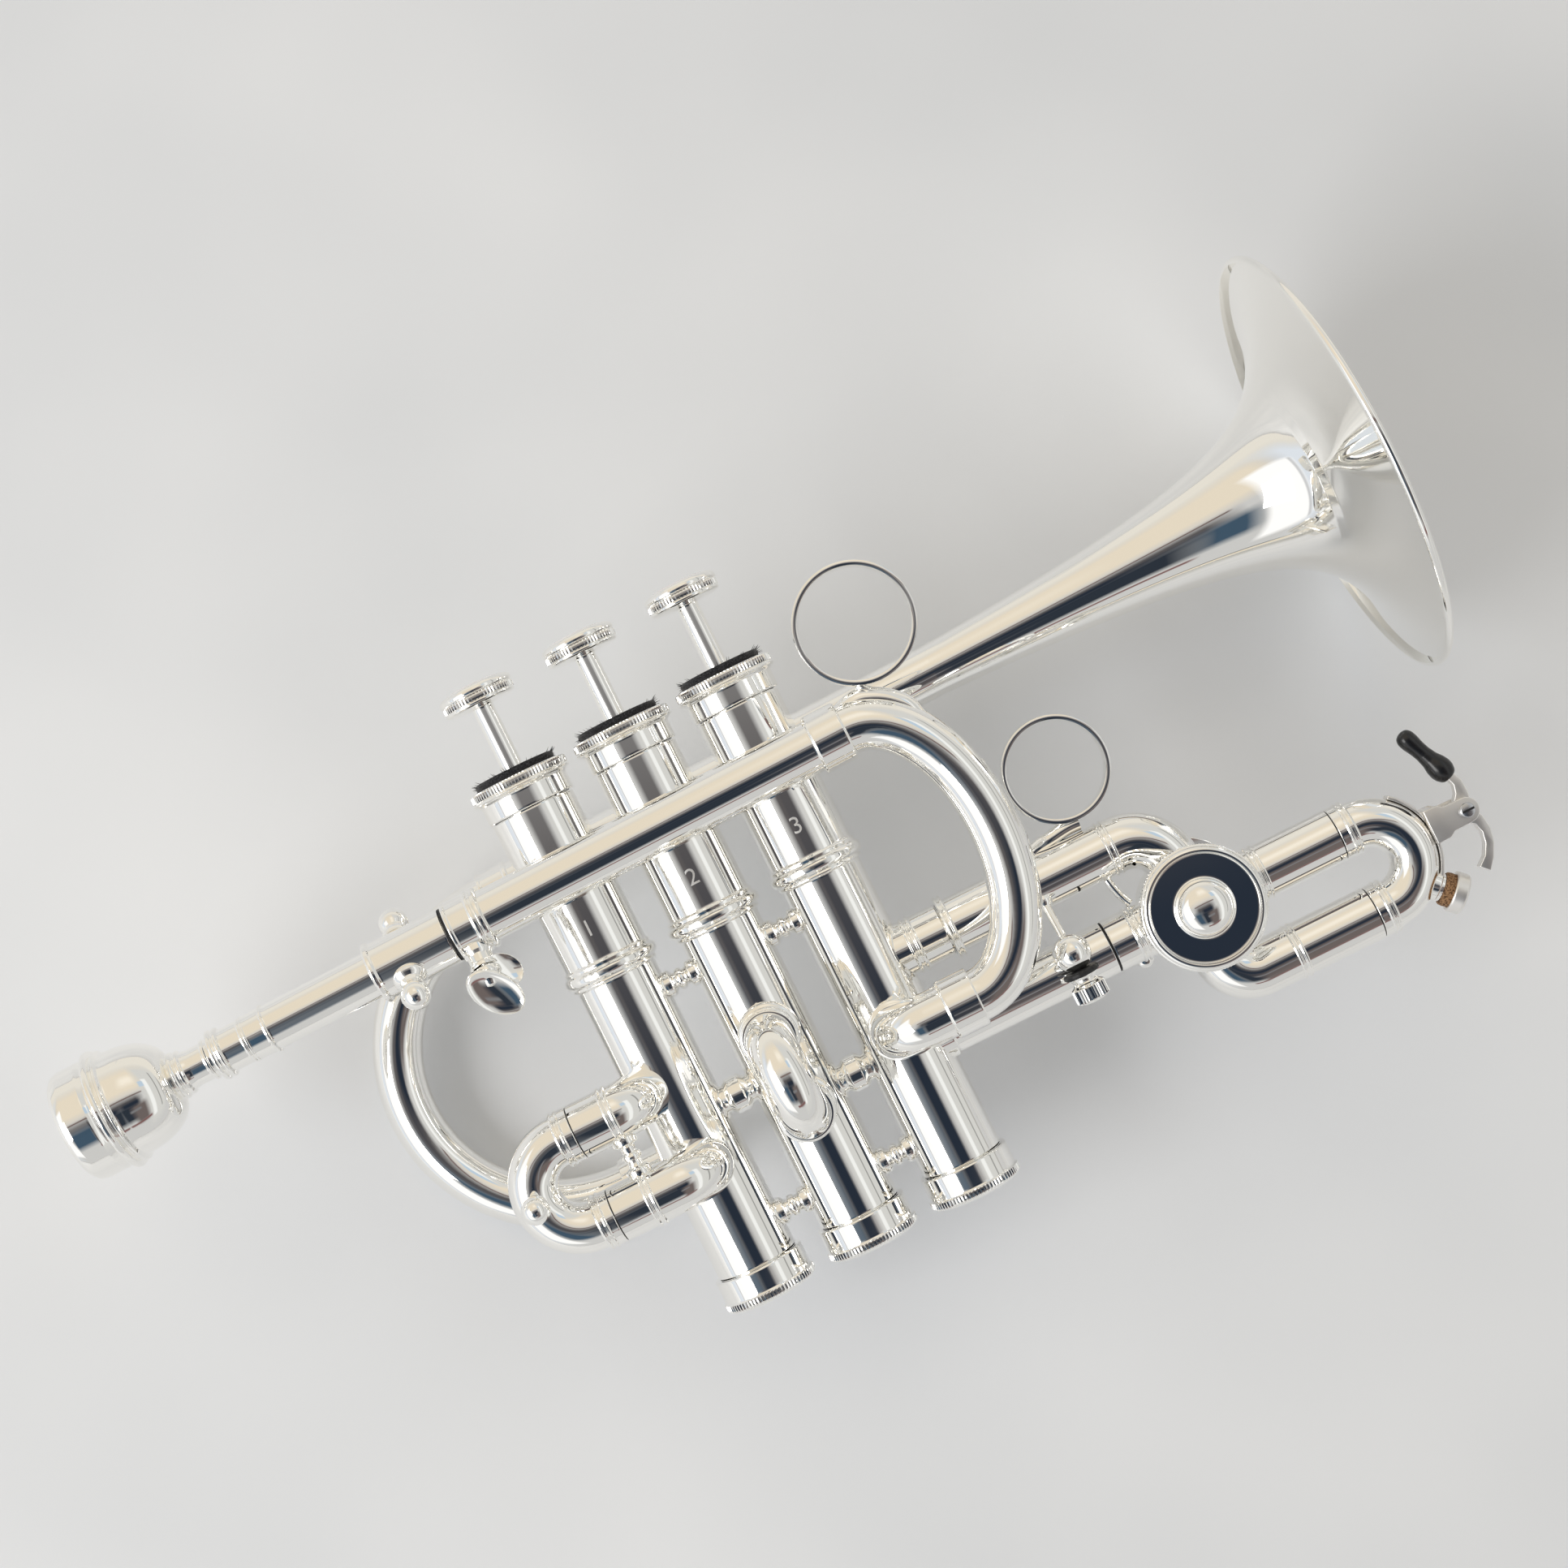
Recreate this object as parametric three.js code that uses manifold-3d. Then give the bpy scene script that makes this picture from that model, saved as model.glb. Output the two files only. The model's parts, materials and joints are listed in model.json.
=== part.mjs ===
// A piccolo trumpet with three piston valves, a rotary valve in its third slide, and a fourth slide.
// Millimetres. Inside the instrument group +X runs to the bell, +Y to the finger buttons and +Z to the
// player's right. The group is then laid on its left side, as it rests on a table, with +Z up.
import * as THREE from "three";
import { ConvexHull } from "three/addons/math/ConvexHull.js";
import { mergeVertices } from "three/addons/utils/BufferGeometryUtils.js";
import Module from "manifold-3d";

const wasm = await Module();
wasm.setup();

// ---------------------------------------------------------------- driving dimensions

const gap = 0.3; // clearance between neighbouring pieces
const tubeSides = 10; // facets round a tube
const smallSides = 8; // facets round a screw, knob or post
const ringSides = 24; // facets round a finger ring
const castSides = 14; // facets round a casing, cap or ring
const bendSteps = 4; // rings along a quarter turn
const pipeSlope = THREE.MathUtils.degToRad(1); // leadpipe and bell rise towards the bell

const valve = {
  boreR: 8.4,
  lowerWall: 1.4,
  upperWall: 1.8,
  threadWall: 0.8,
  beadWall: 2.4,
  bottomY: -72.6, // lower end of the visible casing wall
  beadY: 3.4,
  beadWidth: 4.6,
  topY: 43.5, // upper end of the visible casing wall
  threadLength: 3.4,
  travel: 16.5,
  apart: 2.3, // free space between the rims of neighbouring top caps
};
const lowerR = valve.boreR + valve.lowerWall;
const upperR = valve.boreR + valve.upperWall;
const threadR = valve.boreR + valve.threadWall;
const beadR = valve.boreR + valve.beadWall;

const cap = { bottomWall: 1.1, bottomHeight: 8.4, bottomRim: 0.4, topWall: 0.5, topHeight: 8.5 };
const capRim = { overhang: 1.3, width: 2.6, floor: 1.5 };
const bottomCapR = lowerR + cap.bottomWall;
const topCapR = upperR + cap.topWall;
const topRimR = topCapR + capRim.overhang;
const valveSpacing = 2 * topRimR + valve.apart;
const valveX = (n) => (n - 2) * valveSpacing;

const piston = { length: 48, topY: -8, wall: 1.4, portR: 4.4, recess: 3, floor: 4 };
const spring = { clearance: 1.35, wireR: 0.45, turns: 6, stepsPerTurn: 8 };
const stem = { r: 2.4, footSpare: 1.3, footHeight: 5, spare: 0.1 };
const button = { r: 8.9, height: 4.6, seatDepth: 0.6, pearlR: 7.2, pearlHeight: 0.9 };
const felt = { inset: 1.1, height: 1.5 };

const slideTube = { r: 5.7, wall: 0.6 }; // inner leg of any slide
const slideBoreR = slideTube.r - slideTube.wall;
const legWall = 0.4; // outer leg that a slide runs in
const flatGap = 0.02; // clearance between a slide's corners and the flats of its leg's bore
const legBoreR = slideTube.r / Math.cos(Math.PI / tubeSides) + flatGap;
const legR = legBoreR + legWall;
const kneeR = legR + 0.4; // centreline radius of the short elbows at the casings
const legBeadHeight = 0.6;
const ferrule = { wall: 0.2, beadHeight: 0.35, length: 4.6 };
const ferruleR = legR + ferrule.wall;

const pipe = { y: 27.5, r: 6, wall: 0.4, standOff: 5.8 };
const pipeZ = upperR + pipe.standOff + pipe.r;
const bow = { pastCasing: 19.6, reach: 19.8, lowY: -38.4, r: 5.95, wall: 0.6, steps: 12 };
const bowX = valveX(3) + bow.pastCasing;
const mainTube = { beforeCasing: 26.3, ferruleLength: 7.8, ferruleWall: 0.9 };
const mainTubeX = valveX(1) - mainTube.beforeCasing;
const mainFerruleR = pipe.r + mainTube.ferruleWall;
const leadKnee = { offset: 1.1, r: 6.2, wall: 0.7 };

// Places along the leadpipe are measured back from the end of the main tube.
const leadpipe = { receiver: 59.4, collar: 19.7, inside: 18.6, r: 5.3, wall: 0.9, receiverR: 5.6 };
const receiverX = mainTubeX - leadpipe.receiver;
const collarX = mainTubeX - leadpipe.collar;
const collar = { r: 6.6, ringHeight: 0.5 };
const knob = { fromTube: 12.2, tilt: THREE.MathUtils.degToRad(35), stemR: 2, headR: 2.9, length: 8 };
const clamp = { length: 7.6, wall: 0.9, bossR: 3.1, bossLength: 4.4, tilt: THREE.MathUtils.degToRad(25) };
const wing = { shaftR: 1.5, width: 10.4, length: 13, thickness: 1.8 };
const mouthpiece = { length: 35.5, rimR: 13.1, flangeR: 14.2, cupDepth: 10, cupR: 8, throatR: 1.8 };
const shank = { r: 4.3, depth: 11 };

const bell = { y: 29.3, length: 228.7, rimR: 54.4, wall: 0.9, tubeR: 6.2, standOff: 9.6, beforeCasing: 22 };
const bellX = valveX(1) - bell.beforeCasing;
const bellZ = -(upperR + bell.standOff + bell.tubeR);
const bellRimX = bellX + bell.length;
const flare = { length: 108.4, pole: 5.6, power: 0.71, steps: 8 };
const bellBow = { r: 6, wall: 0.7, lowY: -47.2, steps: 10 };

const passageY = { oneTwo: -36.3, twoThree: -44 };
const braceY = { upper: -6.7, lower: -65 };
const firstSlide = { topY: -26.3, lowY: -46.9, forward: 8.2, beforeCasing: 21.7, offset: -3.9 };
const firstLean = THREE.MathUtils.degToRad(75);
const secondSlide = { topY: -26.3, lowY: -44.8, forward: 8.6 };
const thirdSlide = { topY: -23.7, collar: 20.1, innerLength: 23.6, elbow: 10.3, seam: 21.9, innerStub: 14.4 };
const rotary = { fromCollar: 53.9, y: -44.2, r: 12, wall: 2.1, topZ: 12, bottomZ: -14, passageR: 3.3 };
const rotaryCap = { overhang: 2.5, domeR: 6.8 };
const fourthSlide = { length: 35.9, kneeSpare: 1.2 };
const slideInsert = { first: 6.4, second: 7, fourth: 16 };

const firstX = valveX(1) - firstSlide.beforeCasing;
const firstZ = lowerR + firstSlide.forward;
const secondSeamZ = lowerR + secondSlide.forward;
const thirdCollarX = valveX(3) + thirdSlide.collar;
const thirdR = legR + 0.1;
const rotaryX = thirdCollarX + rotary.fromCollar;
const rotaryBoreR = rotary.r - rotary.wall;
const thirdElbowX = rotaryX - thirdSlide.elbow;
const thirdSeamX = rotaryX - thirdSlide.seam;
const fourthX = rotaryX + fourthSlide.length;

const fingerRing = { pastBow: 11.9, r: 14, wall: 1, depth: 5, seat: 0.45 };
const slideRing = { beforeRotary: 14.9, r: 12.7, wall: 0.9, depth: 5, seat: 2.6 };
const lock = { beforeRotary: 31.1, below: 16.5, forward: 6.2, ballR: 4.4, rodR: 1 };
const lockNut = { r: 4.1, height: 3.6, neckR: 3.4, neckLength: 3.2, shaftR: 1 };
const waterKey = { angle: THREE.MathUtils.degToRad(-44), reach: 8.85, rise: 2.15, earR: 2.9, holeR: 1.3 };
const keyPinR = 0.9;
const keySlot = 6.6; // between the ears of the bracket

const tones = {
  silver: new THREE.MeshStandardMaterial({ color: 0xe6e4de, roughness: 0.12, metalness: 1 }),
  nickel: new THREE.MeshStandardMaterial({ color: 0xb9b8b2, roughness: 0.25, metalness: 1 }),
  steel: new THREE.MeshStandardMaterial({ color: 0x9a9b9e, roughness: 0.3, metalness: 1 }),
  pearl: new THREE.MeshStandardMaterial({ color: 0xf1e9e4, roughness: 0.2, metalness: 0 }),
  felt: new THREE.MeshStandardMaterial({ color: 0x15151a, roughness: 0.95, metalness: 0 }),
  rubber: new THREE.MeshStandardMaterial({ color: 0x101012, roughness: 0.35, metalness: 0 }),
  cork: new THREE.MeshStandardMaterial({ color: 0x9a6b3c, roughness: 0.85, metalness: 0 }),
};

// ---------------------------------------------------------------- shared geometry

const X = new THREE.Vector3(1, 0, 0);
const Y = new THREE.Vector3(0, 1, 0);
const Z = new THREE.Vector3(0, 0, 1);
const at = (x, y, z) => new THREE.Vector3(x, y, z);

// A route made of straights and bends, with a ring only where the route starts, bends or ends.
class Route extends THREE.Curve {
  constructor(start, heading) {
    super();
    this.places = [start.clone()];
    this.headings = [heading.clone().normalize()];
  }
  straight(length) {
    const heading = this.headings.at(-1);
    this.places.push(this.places.at(-1).clone().addScaledVector(heading, length));
    this.headings.push(heading.clone());
    return this;
  }
  // Turns towards `side`: a circle when along equals across, otherwise part of an ellipse.
  bend(side, angle, along, across = along, steps = bendSteps) {
    const from = this.places.at(-1).clone();
    const ahead = this.headings.at(-1).clone();
    for (let i = 1; i <= steps; i += 1) {
      const t = (angle * i) / steps;
      const place = from.clone().addScaledVector(ahead, along * Math.sin(t));
      this.places.push(place.addScaledVector(side, across * (1 - Math.cos(t))));
      const heading = ahead.clone().multiplyScalar(along * Math.cos(t));
      this.headings.push(heading.addScaledVector(side, across * Math.sin(t)).normalize());
    }
    return this;
  }
  get steps() {
    return this.places.length - 1;
  }
  getPoint(t, target = new THREE.Vector3()) {
    return target.copy(this.places[Math.round(t * this.steps)]);
  }
  getPointAt(t, target) {
    return this.getPoint(t, target);
  }
  getTangentAt(t, target = new THREE.Vector3()) {
    return target.copy(this.headings[Math.round(t * this.steps)]);
  }
}

function disc(radius, sides, holeRadius = 0) {
  const shape = new THREE.Shape();
  const ring = (r) => Array.from({ length: sides }, (_, i) => {
    const a = (2 * Math.PI * i) / sides;
    return new THREE.Vector2(r * Math.cos(a), r * Math.sin(a));
  });
  shape.setFromPoints(ring(radius));
  if (holeRadius > 0) shape.holes.push(new THREE.Path(ring(holeRadius)));
  return shape;
}

// A round tube, or a rod when it has no bore, along a route.
function tube(route, radius, boreRadius = 0, sides = tubeSides) {
  return new THREE.ExtrudeGeometry(disc(radius, sides, boreRadius), {
    steps: route.steps,
    extrudePath: route,
    bevelEnabled: false,
  });
}

function lathe(profile, sides) {
  return new THREE.LatheGeometry(profile.map(([r, h]) => new THREE.Vector2(r, h)), sides);
}

// A lathe body whose axis runs along `axis` from `origin`, with heights measured along it.
function turned(profile, sides, origin, axis) {
  const turn = new THREE.Quaternion().setFromUnitVectors(Y, axis.clone().normalize());
  return lathe(profile, sides).applyQuaternion(turn).translate(origin.x, origin.y, origin.z);
}

function plate(points, thickness) {
  const shape = new THREE.Shape(points.map(([x, y]) => new THREE.Vector2(x, y)));
  const slab = new THREE.ExtrudeGeometry(shape, { depth: thickness, bevelEnabled: false });
  return slab.translate(0, 0, -thickness / 2);
}

function closed(geometry) {
  const bare = geometry.clone();
  bare.deleteAttribute("normal");
  bare.deleteAttribute("uv");
  const merged = mergeVertices(bare, 1e-4);
  const faces = merged.index.array;
  const corners = merged.attributes.position;
  const [a, b, c] = [at(0, 0, 0), at(0, 0, 0), at(0, 0, 0)];
  const kept = [];
  let volume = 0;
  for (let i = 0; i < faces.length; i += 3) {
    const [p, q, r] = [faces[i], faces[i + 1], faces[i + 2]];
    if (p === q || q === r || r === p) continue;
    a.fromBufferAttribute(corners, p);
    b.fromBufferAttribute(corners, q);
    c.fromBufferAttribute(corners, r);
    volume += a.dot(b.cross(c)) / 6;
    kept.push(p, q, r);
  }
  if (volume < 0) kept.reverse();
  merged.setIndex(kept);
  return merged;
}

function solid(geometry) {
  const body = closed(geometry);
  return new wasm.Manifold(new wasm.Mesh({
    numProp: 3,
    vertProperties: new Float32Array(body.attributes.position.array),
    triVerts: new Uint32Array(body.index.array),
  }));
}

function surface(manifold) {
  const mesh = manifold.getMesh();
  const geometry = new THREE.BufferGeometry();
  geometry.setAttribute("position", new THREE.BufferAttribute(mesh.vertProperties, 3));
  geometry.setIndex(new THREE.BufferAttribute(mesh.triVerts, 1));
  return geometry;
}

function joined(first, ...others) {
  return surface(others.reduce((body, other) => body.add(solid(other)), solid(first)));
}

function cut(first, ...tools) {
  return surface(tools.reduce((body, tool) => body.subtract(solid(tool)), solid(first)));
}

function mesh(name, geometry, tone, parent) {
  const made = closed(geometry);
  made.computeVertexNormals();
  const piece = new THREE.Mesh(made, tones[tone]);
  piece.name = name;
  parent.add(piece);
  return piece;
}

// A closed ring profile: the outside steps in order, then the bore back to the start.
function sleeve(steps, boreRadius) {
  const first = steps[0];
  const last = steps.at(-1);
  return [...steps, [boreRadius, last[1]], [boreRadius, first[1]], first];
}

function rod(from, to, radius, sides = smallSides) {
  const heading = to.clone().sub(from);
  return tube(new Route(from, heading).straight(heading.length()), radius, 0, sides);
}

// An hourglass post between two neighbours.
function baluster(from, to, footR, waistR, sides = smallSides) {
  const axis = to.clone().sub(from);
  const h = axis.length();
  const profile = [[0, 0], [footR, 0], [footR, h * 0.16], [waistR, h * 0.4],
    [waistR, h * 0.6], [footR, h * 0.84], [footR, h], [0, h]];
  return turned(profile, sides, from, axis);
}

// The round body that a leg's end is shaped to fit.
function casingCutter(x, radius) {
  return rod(at(x, 2 * valve.bottomY, 0), at(x, 2 * valve.topY, 0), radius + gap, castSides);
}

const trumpet = new THREE.Group();
const instrument = new THREE.Group();
trumpet.add(instrument);

const casingReach = lowerR + 2; // how far a port drill reaches from the valve's axis

// ---------------------------------------------------------------- piston valves

const pistonR = valve.boreR - gap;
const pistonBottomY = piston.topY - piston.length;
const springR = valve.boreR - spring.clearance - spring.wireR;
const floorY = valve.bottomY - cap.bottomHeight + capRim.floor;
const capTopY = valve.topY + cap.topHeight;
const buttonY = capTopY + felt.height + valve.travel + stem.spare;

function portDrill(x, y, heading, radius = slideBoreR) {
  return rod(at(x, y, 0), at(x, y, 0).addScaledVector(heading, casingReach), radius, smallSides);
}

function casingProfile() {
  const low = valve.beadY - valve.beadWidth / 2;
  const high = valve.beadY + valve.beadWidth / 2;
  const groove = (beadR + upperR) / 2;
  const crest = valve.beadWidth * 0.15;
  return sleeve([
    [threadR, valve.bottomY - valve.threadLength], [threadR, valve.bottomY],
    [lowerR, valve.bottomY], [lowerR, low], [beadR, low + crest],
    [groove, valve.beadY], [beadR, high - crest], [upperR, high],
    [upperR, valve.topY], [threadR, valve.topY],
    [threadR, valve.topY + valve.threadLength],
  ], valve.boreR);
}

function casing(n, posts, ports) {
  const x = valveX(n);
  const shell = lathe(casingProfile(), castSides).translate(x, 0, 0);
  const bore = rod(at(x, 2 * valve.bottomY, 0), at(x, 2 * valve.topY, 0), valve.boreR, castSides);
  const whole = posts.length ? cut(joined(shell, ...posts), bore) : shell;
  mesh(`casing_${n}`, cut(whole, ...ports), "silver", instrument);
}

function capBottom(n) {
  const innerR = threadR + gap;
  const bottom = valve.bottomY - cap.bottomHeight;
  const rimTop = bottom + capRim.width;
  const rimR = bottomCapR + cap.bottomRim;
  const top = valve.bottomY - gap;
  const chamfer = 0.8;
  const profile = [
    [bottomCapR - 1, bottom], [rimR, bottom + chamfer], [rimR, rimTop],
    [bottomCapR, rimTop + cap.bottomRim], [bottomCapR, top], [innerR, top], [innerR, floorY],
    [capRim.floor, floorY], [capRim.floor, bottom], [bottomCapR - 1, bottom],
  ];
  mesh(`bottom_cap_${n}`, lathe(profile, castSides).translate(valveX(n), 0, 0), "silver", instrument);
}

function capTop(n) {
  const innerR = threadR + gap;
  const holeR = stem.r + gap;
  const base = valve.topY + gap;
  const ceiling = capTopY - capRim.floor;
  const rimLow = capTopY - capRim.width;
  const chamfer = 0.5;
  const profile = [
    [topCapR, base], [topCapR, rimLow - 0.4], [topRimR, rimLow],
    [topRimR, capTopY - chamfer], [topRimR - 0.8, capTopY], [holeR, capTopY], [holeR, ceiling],
    [innerR, ceiling], [innerR, base], [topCapR, base],
  ];
  mesh(`top_cap_${n}`, lathe(profile, castSides).translate(valveX(n), 0, 0), "silver", instrument);
}

function pistonBody(n, portHeights) {
  const innerR = pistonR - piston.wall;
  const body = lathe([
    [0, piston.topY - piston.recess], [innerR, piston.topY - piston.recess], [innerR, piston.topY],
    [pistonR, piston.topY], [pistonR, pistonBottomY], [innerR, pistonBottomY],
    [innerR, pistonBottomY + piston.floor], [0, pistonBottomY + piston.floor],
  ], castSides);
  const drills = portHeights.map(([y, heading]) => {
    const half = heading.clone().multiplyScalar(pistonR + 2);
    return rod(at(0, y, 0).sub(half), at(0, y, 0).add(half), piston.portR, smallSides);
  });
  mesh(`piston_${n}`, cut(body, ...drills).translate(valveX(n), 0, 0), "nickel", instrument);
}

class Coil extends THREE.Curve {
  constructor(low, high) {
    super();
    this.low = low;
    this.high = high;
  }
  getPoint(t, target = new THREE.Vector3()) {
    const a = 2 * Math.PI * spring.turns * t;
    const y = this.low + (this.high - this.low) * t;
    return target.set(springR * Math.cos(a), y, springR * Math.sin(a));
  }
}

function valveSpring(n) {
  const lift = spring.wireR + gap;
  const coil = new Coil(floorY + lift, pistonBottomY - lift);
  const wire = new THREE.ExtrudeGeometry(disc(spring.wireR, 4), {
    steps: spring.turns * spring.stepsPerTurn,
    extrudePath: coil,
    bevelEnabled: false,
  });
  mesh(`spring_${n}`, wire.translate(valveX(n), 0, 0), "steel", instrument);
}

function stemAndButton(n) {
  const x = valveX(n);
  const base = piston.topY - piston.recess + gap;
  const footR = pistonR - piston.wall - stem.footSpare;
  const top = buttonY + button.height;
  const seat = top - button.seatDepth;
  const edge = button.height / 4;
  const profile = [
    [0, base], [footR, base], [footR, base + stem.footHeight],
    [stem.r, base + stem.footHeight + 1], [stem.r, buttonY - 0.6],
    [stem.r * 2, buttonY], [button.r - 0.8, buttonY + 0.3], [button.r, buttonY + edge],
    [button.r, buttonY + 2 * edge], [button.r - 0.7, top], [button.pearlR + gap, top],
    [button.pearlR + gap, seat], [0, seat],
  ];
  mesh(`button_${n}`, lathe(profile, 12).translate(x, 0, 0), "silver", instrument);
  const low = seat + gap;
  const dome = [
    [0, low], [button.pearlR, low], [button.pearlR, low + button.pearlHeight * 0.4],
    [button.pearlR * 0.6, low + button.pearlHeight], [0, low + button.pearlHeight * 1.1],
  ];
  mesh(`pearl_${n}`, lathe(dome, 12).translate(x, 0, 0), "pearl", instrument);
  const feltLow = capTopY + gap;
  const feltR = topCapR - felt.inset;
  const pad = sleeve([[feltR, feltLow], [feltR, feltLow + felt.height]], stem.r + gap);
  mesh(`felt_${n}`, lathe(pad, castSides).translate(x, 0, 0), "felt", instrument);
}

// The legs that enter each casing, and the posts that are soldered to it.
const rooted = 0.6; // how deep a post's foot sits in its own casing
const braceStart = valveX(2) + lowerR - rooted;
const braceEnd = valveX(3) - lowerR - gap;
const braceLength = braceEnd - braceStart;
const brace = { footR: 3, waistR: 1.9 };
const passage = { r: 2.9, beadR: 3.4, boreR: 2 };

function sideBrace(side, y) {
  return baluster(at(side * braceStart, y, 0), at(side * braceEnd, y, 0), brace.footR, brace.waistR);
}

// A knuckle that carries air between two neighbouring casings, with a thick bead round its middle.
function knuckle(side, y) {
  return turned([
    [0, 0], [passage.r, 0], [passage.r, braceLength * 0.22], [passage.beadR, braceLength * 0.27],
    [passage.beadR, braceLength * 0.7], [passage.r, braceLength * 0.75], [passage.r, braceLength],
    [0, braceLength],
  ], smallSides, at(side * braceStart, y, 0), at(side, 0, 0));
}

// Outer radius of the bell at x: a slow cone, then a flare that opens ever faster towards the rim.
function bellRadius(x) {
  const poleX = bellRimX + flare.pole;
  const coneEndX = bellRimX - flare.length;
  const curve = (place) => bell.rimR * (flare.pole / (poleX - place)) ** flare.power;
  if (x >= coneEndX) return curve(x);
  const along = (x - bellX) / (coneEndX - bellX);
  return bell.tubeR + (curve(coneEndX) - bell.tubeR) * along;
}

function stay(n, y, side, far) {
  const from = at(valveX(n), y, side * (upperR - rooted));
  return baluster(from, at(valveX(n), y, side * far), stayPost.footR, stayPost.waistR);
}

const stayPost = { footR: 3, waistR: 1.7, spare: 0.2 };
const pipeBack = pipeZ - pipe.r - gap - stayPost.spare;
const bellFront = (n) => -bellZ - bellRadius(valveX(n)) - gap - stayPost.spare;
const outerPosts = (n) => [stay(n, pipe.y - 1, 1, pipeBack), stay(n, bell.y + 1, -1, bellFront(n))];
const firstHeading = at(-Math.cos(firstLean), 0, Math.sin(firstLean));

casing(1, outerPosts(1), [
  rod(at(valveX(1) + firstSlide.offset, firstSlide.topY, 0),
    at(valveX(1) + firstSlide.offset, firstSlide.topY, 0).addScaledVector(firstHeading, casingReach),
    piston.portR, smallSides),
  portDrill(valveX(1), firstSlide.lowY, Z),
  portDrill(valveX(1), bellBow.lowY, Z.clone().negate()),
  portDrill(valveX(1), passageY.oneTwo, X, passage.boreR),
]);
casing(2, [
  sideBrace(-1, braceY.upper), sideBrace(1, braceY.upper), sideBrace(-1, braceY.lower),
  sideBrace(1, braceY.lower), knuckle(-1, passageY.oneTwo), knuckle(1, passageY.twoThree),
], [
  portDrill(valveX(2), secondSlide.topY, Z),
  portDrill(valveX(2), secondSlide.lowY, Z),
]);
casing(3, outerPosts(3), [
  portDrill(valveX(3), bow.lowY, Z, piston.portR),
  portDrill(valveX(3), thirdSlide.topY, X),
  portDrill(valveX(3), rotary.y, X),
  portDrill(valveX(3), passageY.twoThree, X.clone().negate(), passage.boreR),
]);

const portPlans = [
  [[firstSlide.topY, Z], [firstSlide.lowY, Z]],
  [[secondSlide.topY, Z], [secondSlide.lowY, Z]],
  [[thirdSlide.topY, X], [rotary.y, X]],
];
portPlans.forEach((plan, i) => {
  const n = i + 1;
  capBottom(n);
  capTop(n);
  pistonBody(n, plan);
  valveSpring(n);
  stemAndButton(n);
});

// ---------------------------------------------------------------- leadpipe, clamp and lead bow

// The pipe group's origin is where the main tube meets the lead bow, and its -X runs to the mouthpiece.
const pipeLine = new THREE.Group();
pipeLine.position.set(bowX, pipe.y, pipeZ);
pipeLine.rotation.z = pipeSlope;
instrument.add(pipeLine);
const pipeAt = (x) => x - bowX;
const alongPipe = (profile, sides = tubeSides) => turned(
  profile.map(([r, x]) => [r, pipeAt(x)]), sides, at(0, 0, 0), X);

function mainTubeSolid() {
  const end = bowX - gap;
  const step = end - mainTube.ferruleLength;
  const boreR = pipe.r - pipe.wall;
  return alongPipe([
    [pipe.r, mainTubeX], [pipe.r, step], [mainFerruleR, step], [mainFerruleR, end],
    [boreR, end], [boreR, mainTubeX], [pipe.r, mainTubeX],
  ]);
}

function leadpipeSolid() {
  const mouth = receiverX;
  const endX = mainTubeX + leadpipe.inside;
  const receiverR = leadpipe.receiverR;
  const neckR = receiverR - 0.6;
  const stepR = receiverR - 0.2;
  const boreR = leadpipe.r - leadpipe.wall;
  const socketR = shank.r + gap;
  const socketEnd = mouth + shank.depth + 2;
  const steps = [
    [receiverR, mouth], [receiverR + 0.5, mouth + 0.5], [receiverR, mouth + 1.1],
    [receiverR + 0.4, mouth + 1.8], [neckR, mouth + 2.6],
    [neckR, mouth + 8], [stepR, mouth + 8.3], [stepR, mouth + 13.5],
    [leadpipe.r, mouth + 14], [leadpipe.r, endX],
  ];
  return alongPipe([
    ...steps, [boreR, endX], [boreR, socketEnd + 1], [socketR, socketEnd], [socketR, mouth], steps[0],
  ]);
}

function mouthpieceSolid() {
  const { rimR, flangeR, cupR, throatR } = mouthpiece;
  const rim = receiverX - mouthpiece.length;
  const neck = receiverX - 9;
  const tip = receiverX + shank.depth;
  const cupEnd = rim + mouthpiece.cupDepth;
  const lipDepth = 0.9;
  return alongPipe([
    [cupR, rim + lipDepth], [cupR + 1.5, rim], [rimR - 1, rim],
    [rimR, rim + 1], [rimR, rim + 8], [rimR - 0.6, rim + 8.8],
    [flangeR, rim + 9.6], [flangeR, rim + 11], [rimR - 2, rim + 12],
    [rimR - 3.6, rim + 16], [shank.r + 2.8, neck - 6], [shank.r + 0.4, neck - 1],
    [shank.r + 1.2, neck], [shank.r, neck + 1], [shank.r, neck + 7],
    [shank.r - 0.1, tip], [shank.r - 1.2, tip], [throatR, cupEnd + 6],
    [throatR, cupEnd], [cupR * 0.7, cupEnd - 3], [cupR, rim + lipDepth],
  ], 14);
}

function pullKnob(name, side) {
  const axis = at(0, -side * Math.cos(knob.tilt), side * Math.sin(knob.tilt));
  const start = at(pipeAt(mainTubeX - knob.fromTube), 0, 0).addScaledVector(axis, collar.r + gap);
  const h = knob.length;
  const profile = [
    [0, 0], [knob.headR, 0], [knob.stemR, h * 0.2], [knob.stemR, h * 0.4], [knob.headR, h * 0.55],
    [knob.headR, h * 0.8], [knob.headR * 0.7, h * 0.96], [0, h],
  ];
  mesh(name, turned(profile, smallSides, start, axis), "silver", pipeLine);
}

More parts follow.
